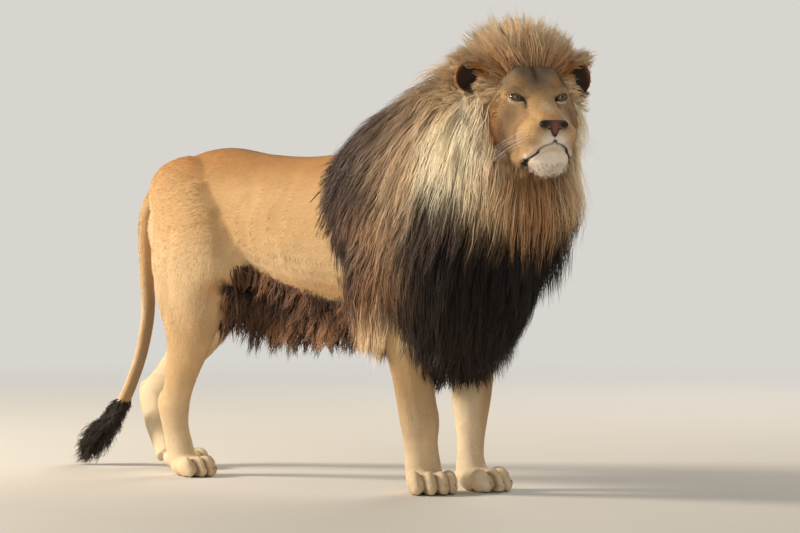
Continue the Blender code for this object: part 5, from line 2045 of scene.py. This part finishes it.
@dataclass
class FaceHair:
    """The longer hair of the head: hairline, ears, cheeks, beard and throat."""

    finish: HairFinish
    locks: Locks = field(default_factory=lambda: Locks(
        800, 6000, 0.0018, steps=5, draw_in=0.45, wave=0.002, frizz=0.0009, seed=31, hang=0.1))
    ear_locks: Locks = field(default_factory=lambda: Locks(
        150, 1600, 0.0022, steps=5, draw_in=0.7, wave=0.004, frizz=0.0015, seed=41, hang=0.12,
        stands=True))

    @staticmethod
    def lie(points: Array, normals: Array) -> Array:
        """Back and up from the brow, back and down from the cheeks, down from the chin."""
        f, l, u = in_head(points).T
        face = np.column_stack([np.full(len(f), -0.55), l * 4.0, np.where(u > 0.02, 0.9, -0.85)])
        chin = ramp(-0.15, -0.175, u) * ramp(-0.06, 0.0, f)
        way = turned(mixed(face, np.column_stack([-0.1 + 0 * f, l * 3.0, -1 + 0 * f]), chin))
        for side, local, away in in_ears(points):
            on_ear = (away < 0.075) & (local[:, 2] > -0.05)
            outwards = unit(local * (0.2, 1, 1)) + (0.9, side.value * 0.9, 0.3)
            way[on_ear] = turned(outwards, ear_place(side))[on_ear]
        return way

    @staticmethod
    def length(points: Array) -> Array:
        """How long the hair is at each root."""
        f, _, u = in_head(points).T
        length = 0.012 + 0.03 * ramp(0.0, -0.08, f)
        throat = ramp(-0.17, -0.2, u) * ramp(0.055, 0.01, f)
        near_ear = np.maximum(*(ramp(0.09, 0.065, away) for _, _, away in in_ears(points)))
        return (length + 0.034 * throat) * (1 - 0.5 * near_ear)

    @staticmethod
    def weight(points: Array) -> Array:
        """Where this hair roots."""
        f, l, u = in_head(points).T
        side = np.abs(l)
        chin = ramp(0.075, 0.055, norm(np.column_stack([f - 0.08, l, u + 0.215]))) * (u < -0.185)
        throat = ramp(-0.165, -0.185, u) * (f < 0.06)
        cheek = ramp(-0.015, -0.065, f) * ramp(0.075, 0.105, side) * (u < 0.03)
        hairline = ramp(-0.045, -0.085, f) * ramp(0.07, 0.095, u)
        hairline = np.maximum(hairline, ramp(0.085, 0.105, side) * ramp(0.0, 0.03, u)
                              * (f < -0.05))
        ears = np.zeros(len(points))
        for sign, local, away in in_ears(points):
            x, y, z = local.T
            hairline = hairline * ramp(0.062, 0.078, away)
            inner = (y * sign.value < -0.022) & (z < 0.012) & (x > -0.03)
            ears = np.maximum(ears, 0.6 * inner * (away < 0.062))
        return np.maximum.reduce([1.6 * chin, 0.9 * throat, cheek, hairline, ears])

    @staticmethod
    def across_ears(points: Array, normals: Array) -> Array:
        """From each ear's inner edge across its mouth."""
        way = np.zeros((len(points), 3))
        for side, local, away in in_ears(points):
            mine = away < 0.15
            lift = 0.25 + 8.0 * local[:, 2]
            ways = np.column_stack([0.55 + 0 * lift, side.value + 0 * lift, lift])
            way[mine] = turned(unit(ways), ear_place(side))[mine]
        return way

    def in_ears(self, skin: Object, tree: Tree) -> Object:
        """Builds the pale hair that crosses the ears from their inner edge."""
        at = positions(skin.data)
        weight = np.zeros(len(at))
        for side, local, away in in_ears(at):
            inner = (local[:, 1] * side.value < -0.02) & (local[:, 0] > -0.034)
            weight = np.maximum(weight, inner * (away < 0.07))
        grown = self.ear_locks.grow(skin, skin, weight, self.across_ears, always(0.029),
                                    always(0.004))
        low = ramp(0.075, 0.045, in_head(grown["roots"])[:, 2])
        colours = mixed(Markings.orange, np.array(paint(244, 212, 164)), low)
        return locks_object("ear_hair", grown, colours, head_unwrap(grown["roots"]), tree,
                            self.finish.material())

    def build(self, skin: Object, tree: Tree) -> Object:
        """Builds this hair, in the skin's own colours."""
        at = positions(skin.data)
        weight = self.weight(at) * read_values(skin.data, "on_face")
        grown = self.locks.grow(skin, skin, weight, self.lie, self.length, always(0.009))
        colours = read_values(skin.data, "coat")[:, :3]
        colours = colours[nearest(grown["roots"], at)].astype(float)
        for side, local, away in in_ears(grown["roots"]):
            colours[(away < 0.064) & (local[:, 1] * side.value < -0.018)] = paint(232, 202, 156)
        return locks_object("face_hair", grown, colours, head_unwrap(grown["roots"]), tree,
                            self.finish.material())


# -------------------------------------------------------- eyes, nose, claws
@dataclass
class Eyes:
    """Both eyeballs, with the clear bulge over the iris."""

    finish: EyeFinish
    radius: float = EYE_RADIUS - 0.0006
    bulge: float = 0.0014
    iris: float = math.radians(38)
    gaze: Vector = field(default_factory=lambda: Vector((1.0, 0.03, 0.02)))

    def build(self) -> list[Object]:
        """Builds the two eyes."""
        wet = self.finish.material()
        axis = (head_place().to_3x3() @ self.gaze).normalized()
        made = []
        for side in Side:
            bm = bmesh.new()
            at = head_place() @ Vector((EYE_AT.x, side.value * EYE_AT.y, EYE_AT.z))
            bmesh.ops.create_icosphere(bm, subdivisions=5, radius=1.0)
            off = []
            for vert in bm.verts:
                angle = math.acos(max(-1.0, min(1.0, vert.co.normalized() @ axis)))
                off.append(angle / math.radians(90))
                rise = self.bulge * max(0.0, math.cos(min(angle / self.iris, 1) * math.pi / 2))
                vert.co = at + vert.co.normalized() * (self.radius + rise)
            eye = from_bmesh("eyeball_" + side.name.lower(), bm)
            store(eye.data, off_axis=np.array(off))
            made.append(wear(eye, wet))
        return made


@dataclass
class Nose:
    """The nose leather: a broad wedge with curled nostrils and a cleft."""

    finish: NoseFinish
    voxel: float = 0.0011
    triangles: int = 9000

    def build(self) -> Object:
        """Builds the nose."""
        bm, place = bmesh.new(), head_place()
        ellipsoid(bm, (0.134, 0, -0.079), (0.024, 0.039, 0.01), (0, 16, 0), place)
        ellipsoid(bm, (0.141, 0, -0.089), (0.015, 0.027, 0.015), (0, 10, 0), place)
        ellipsoid(bm, (0.143, 0, -0.099), (0.012, 0.013, 0.02), (0, 10, 0), place)
        for side in (-1, 1):
            ellipsoid(bm, (0.136, side * 0.028, -0.084), (0.016, 0.013, 0.011),
                      (side * 22, 10, side * 20), place)
        nose = from_bmesh("nose_leather", bm)
        remesh(nose, self.voxel, 3)
        for side in (-1, 1):
            cut = bmesh.new()
            ellipsoid(cut, (0.151, side * 0.017, -0.09), (0.009, 0.0075, 0.0055),
                      (side * 25, 0, side * -15), place, 3)
            ellipsoid(cut, (0.144, side * 0.029, -0.094), (0.014, 0.01, 0.0028),
                      (side * 10, 0, side * 30), place, 3)
            tool = from_bmesh("nostril", cut)
            remesh(tool, self.voxel, 0)
            combine(nose, tool, "DIFFERENCE")
        thin(nose, self.triangles)
        _, l, u = in_head(positions(nose.data)).T
        pink = bell(l, np.interp(u, (-0.115, -0.085), (0.005, 0.015)))
        pink = pink * ramp(-0.118, -0.106, u) * ramp(-0.069, -0.08, u)
        store(nose.data, pink=pink)
        return wear(nose, self.finish.material())


@dataclass
class Whiskers:
    """Whiskers in rows on the pads, and the dark spots that they grow from."""

    finish: HornFinish
    spot_finish: HornFinish
    thickness: float = 0.0011
    spot_radius: float = 0.0017
    rings: int = 9

    def spots(self, skin: Object) -> list[tuple[Vector, Vector]]:
        """Where the whiskers root on both pads, with the skin's normal."""
        tree, place = surface(skin), head_place()
        found = []
        for side in Side:
            way = place.to_3x3() @ Vector((-0.12, -side.value, 0.0))
            for row, (height, count) in enumerate(PAD_ROWS):
                for k in range(count):
                    forward = 0.122 - 0.0115 * k - 0.004 * (row % 2)
                    start = place @ Vector((forward + 0.02, side.value * 0.2, height - 0.0012 * k))
                    at, normal, _, _ = tree.ray_cast(start, way.normalized())
                    if at is not None:
                        found.append((at, normal))
        return found

    def build(self, skin: Object, tree: Tree) -> list[Object]:
        """Builds the whiskers and their spots."""
        rng = np.random.default_rng(11)
        spots = self.spots(skin)
        bm = bmesh.new()
        for at, normal in spots:
            turn = normal.to_track_quat("Z", "Y").to_matrix().to_4x4()
            matrix = Matrix.Translation(at) @ turn @ Matrix.Diagonal((1, 1, 0.45, 1))
            bmesh.ops.create_icosphere(bm, subdivisions=1, radius=self.spot_radius, matrix=matrix)
        marks = from_bmesh("whisker_spots", bm)
        store(marks.data, along=np.zeros(len(marks.data.vertices)))
        wear(marks, self.spot_finish.material(), smooth=False)

        s = np.linspace(0, 1, self.rings)[:, None]
        points = []
        for at, normal in spots[::2]:
            side = 1 if (head_place().to_3x3().transposed() @ normal).y > 0 else -1
            way = np.array((-0.3, side * 1.0, -0.12 - 0.25 * rng.random()))
            length = rng.uniform(0.065, 0.108)
            curve = s * way * length + (s ** 2) * np.array((-0.35, 0.0, -0.75)) * length * 0.45
            points.append(np.array(at) + turned(curve))
        points = np.array(points)
        count = len(points)
        grown = {"points": points, "outs": np.tile((0.0, 0.0, 1.0), (count, self.rings, 1)),
                 "width": np.tile(self.thickness * (1 - 0.85 * s[:, 0]), (count, 1)),
                 "along": np.tile(s[:, 0], (count, 1)), "tone": np.ones(count)}
        uv = widened(np.linspace(0.05, 0.95, count), 0.5)
        return [marks, locks_object("whiskers", grown, np.ones((count, 3)), uv, tree,
                                    self.finish.material(), flatness=1.0)]


@dataclass
class Claws:
    """The tips of the claws, four to a paw."""

    finish: HornFinish
    length: float = 0.014
    radius: float = 0.0034

    def claw(self, bm: BMesh, place: Matrix, along: list[float]) -> None:
        """One curved, tapered claw; +x forwards, curling down."""
        rings = []
        for t in (k / 7 for k in range(8)):
            bend = math.radians(75) * t
            at = Vector((math.sin(bend), 0, math.cos(bend) - 1)) * self.length * 0.8
            radius = self.radius * (1 - t) ** 0.7 + 0.0003
            rings.append([bm.verts.new(place @ (at + Vector((
                math.sin(bend) * math.sin(angle) * radius, math.cos(angle) * radius * 0.6,
                math.cos(bend) * math.sin(angle) * radius)))) for angle in turns(8)])
            along += [t] * 8
        skin_rings(bm, rings)
        along += [0.0, 1.0]

    def build(self) -> Object:
        """Builds the claws of the four paws."""
        bm = bmesh.new()
        along: list[float] = []
        for paw in PAWS.values():
            for lateral, forward in TOES:
                tip = Vector(((forward + 0.4) * paw.length / 2, lateral * paw.width / 2 * 1.02,
                              0.4 * paw.height))
                turn = Matrix.Rotation(math.radians(14 * lateral), 4, "Z")
                self.claw(bm, paw.place() @ Matrix.Translation(tip) @ turn, along)
        claws = from_bmesh("claws", bm)
        store(claws.data, along=np.array(along))
        return wear(claws, self.finish.material())


# --------------------------------------------------------------- the studio
@dataclass(frozen=True)
class Studio:
    """Camera, lights, world and floor."""

    camera_at: Vector = Vector((7.039, -8.2925, 1.0))
    heading: float = math.radians(38.886)
    tilt: float = math.radians(-1.853)
    lens: float = 162.0
    floor_radius: float = 60.0
    backdrop: tuple = paint(224, 221, 215)
    backdrop_strength: float = 0.92
    ambient: float = 0.4
    aim: Vector = Vector((0.1, 0, 0.7))      # where the lamps point
    lamps: tuple = (("key", (-4.9, -3.3, 3.3), 1.4, 520, (1.0, 0.91, 0.78)),
                    ("fill", (5.5, -6.0, 2.8), 4.0, 110, (0.96, 0.98, 1.0)),
                    ("back", (-1.0, 5.0, 3.6), 3.0, 150, (1.0, 0.96, 0.9)))

    def build(self, shift: Vector) -> None:
        """Sets the studio up.

        Args:
            shift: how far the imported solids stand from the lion's own frame.
        """
        data = bpy.data.cameras.new("camera")
        data.lens = self.lens
        data.sensor_width = 36.0
        camera = new_object("camera", data)
        camera.location = self.camera_at + shift
        camera.rotation_euler = (math.pi / 2 + self.tilt, 0, self.heading)
        bpy.context.scene.camera = camera
        bpy.context.scene.view_settings.view_transform = "Standard"

        bm = bmesh.new()
        bmesh.ops.create_circle(bm, cap_ends=True, segments=96, radius=self.floor_radius)
        floor = from_bmesh("floor", bm)
        glow = tuple(c * self.backdrop_strength for c in self.backdrop)
        wear(floor, FloorFinish("pale_floor", 0.9, glow=glow).material(), smooth=False)

        self.surroundings()
        for name, at, size, power, colour in self.lamps:
            data = bpy.data.lights.new(name, "AREA")
            data.size, data.energy, data.color = size, power, colour
            lamp = new_object(name, data)
            lamp.location = at
            lamp.rotation_euler = (self.aim - Vector(at)).to_track_quat("-Z", "Y").to_euler()

    def surroundings(self) -> None:
        """The world: soft light, and a pale backdrop where it is seen directly."""
        world = bpy.data.worlds.new("studio")
        bpy.context.scene.world = world
        world.use_nodes = True
        weave = Weaver(world.node_tree)
        light, seen = (weave.node("ShaderNodeBackground", None, {
            "Color": (*self.backdrop, 1), "Strength": strength})
            for strength in (self.ambient, self.backdrop_strength))
        direct = weave.node("ShaderNodeLightPath")
        both = weave.node("ShaderNodeMixShader", None, {0: direct, 1: light, 2: seen})
        weave.lead(both, world.node_tree.nodes["World Output"], "Surface")


# ---------------------------------------------------------------- assembly
def settle(piece: Object, shift: Vector, slot: str, *nodes: str) -> None:
    """Shifts a finished piece onto the solids, hides the solids it stands for and logs its
    triangles.

    Args:
        piece: the piece, still in the lion's own frame.
        shift: how far the solids stand from that frame.
        slot: the material slot of the record that its finish follows; not used.
        nodes: the CAD nodes that it stands for.
    """
    piece.data.transform(Matrix.Translation(shift))
    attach(piece, "root")
    if nodes:
        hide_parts(*nodes)
    piece.data.calc_loop_triangles()
    LOG.info("%s: %d triangles", piece.name, len(piece.data.loop_triangles))


def main() -> None:
    """Builds the lion piece by piece and the studio round it."""
    logging.basicConfig(level=logging.INFO, format="%(name)s %(message)s")
    for name in ("Cube", "Light", "Camera"):
        if name in bpy.data.objects:
            bpy.data.objects.remove(bpy.data.objects[name])
    shift = shift_to_solids()
    markings = Markings()
    skin_maker = Skin(markings)
    skin, mass, fringe = skin_maker.build()
    wear(skin, SkinFinish("short_coat", 0.78).material())
    tree = lock_tree()
    mane = Mane(markings, HairFinish("mane_hair", 0.55)).build(skin, mass, tree)
    belly = BellyFringe(HairFinish("fringe_hair", 0.6)).build(skin, fringe, tree)
    tuft = TailTuft(HairFinish("tuft_hair", 0.6)).build(skin, tree)
    coat = ShortCoat(HairFinish("short_fur", 0.8, root_gain=1.0, tip_gain=0.05, tone_depth=0.12,
                                streaks=0.2)).build(skin)
    face_hair = FaceHair(HairFinish("face_fur", 0.7, root_gain=0.92, tip_gain=0.1, tone_depth=0.2,
                                    streaks=0.35))
    coat += [face_hair.build(skin, tree), face_hair.in_ears(skin, tree)]
    pale = HornFinish("whisker", 0.35, root=paint(236, 230, 218), tip=paint(246, 242, 234))
    dark = HornFinish("whisker_spot", 0.7, root=paint(52, 38, 30))
    coat += Whiskers(pale, dark).build(skin, tree)
    coat.append(Claws(HornFinish("claw_horn", 0.3)).build())
    discard(mass)
    discard(fringe)
    settle(skin, shift, "short_coat", *skin_maker.flesh_nodes)
    nodes = {f"mane_{part}_right": (f"mane_{part}",) for part in ("ruff", "neck", "bib")}
    for piece in mane:
        settle(piece, shift, "mane_hair", *nodes.get(piece.name, ()))
    for piece in coat:
        settle(piece, shift, "short_coat")
    settle(belly, shift, "mane_hair", "belly_fringe")
    settle(tuft, shift, "mane_hair", "tail_tuft")
    for eye, node in zip(Eyes(EyeFinish("eye_wet", 0.12)).build(), ("eye_right", "eye_left")):
        settle(eye, shift, "eye", node)
    settle(Nose(NoseFinish("nose_leather", 0.62)).build(), shift, "nose_leather", "nose")
    Studio().build(shift)


if __name__ == "__main__":
    main()
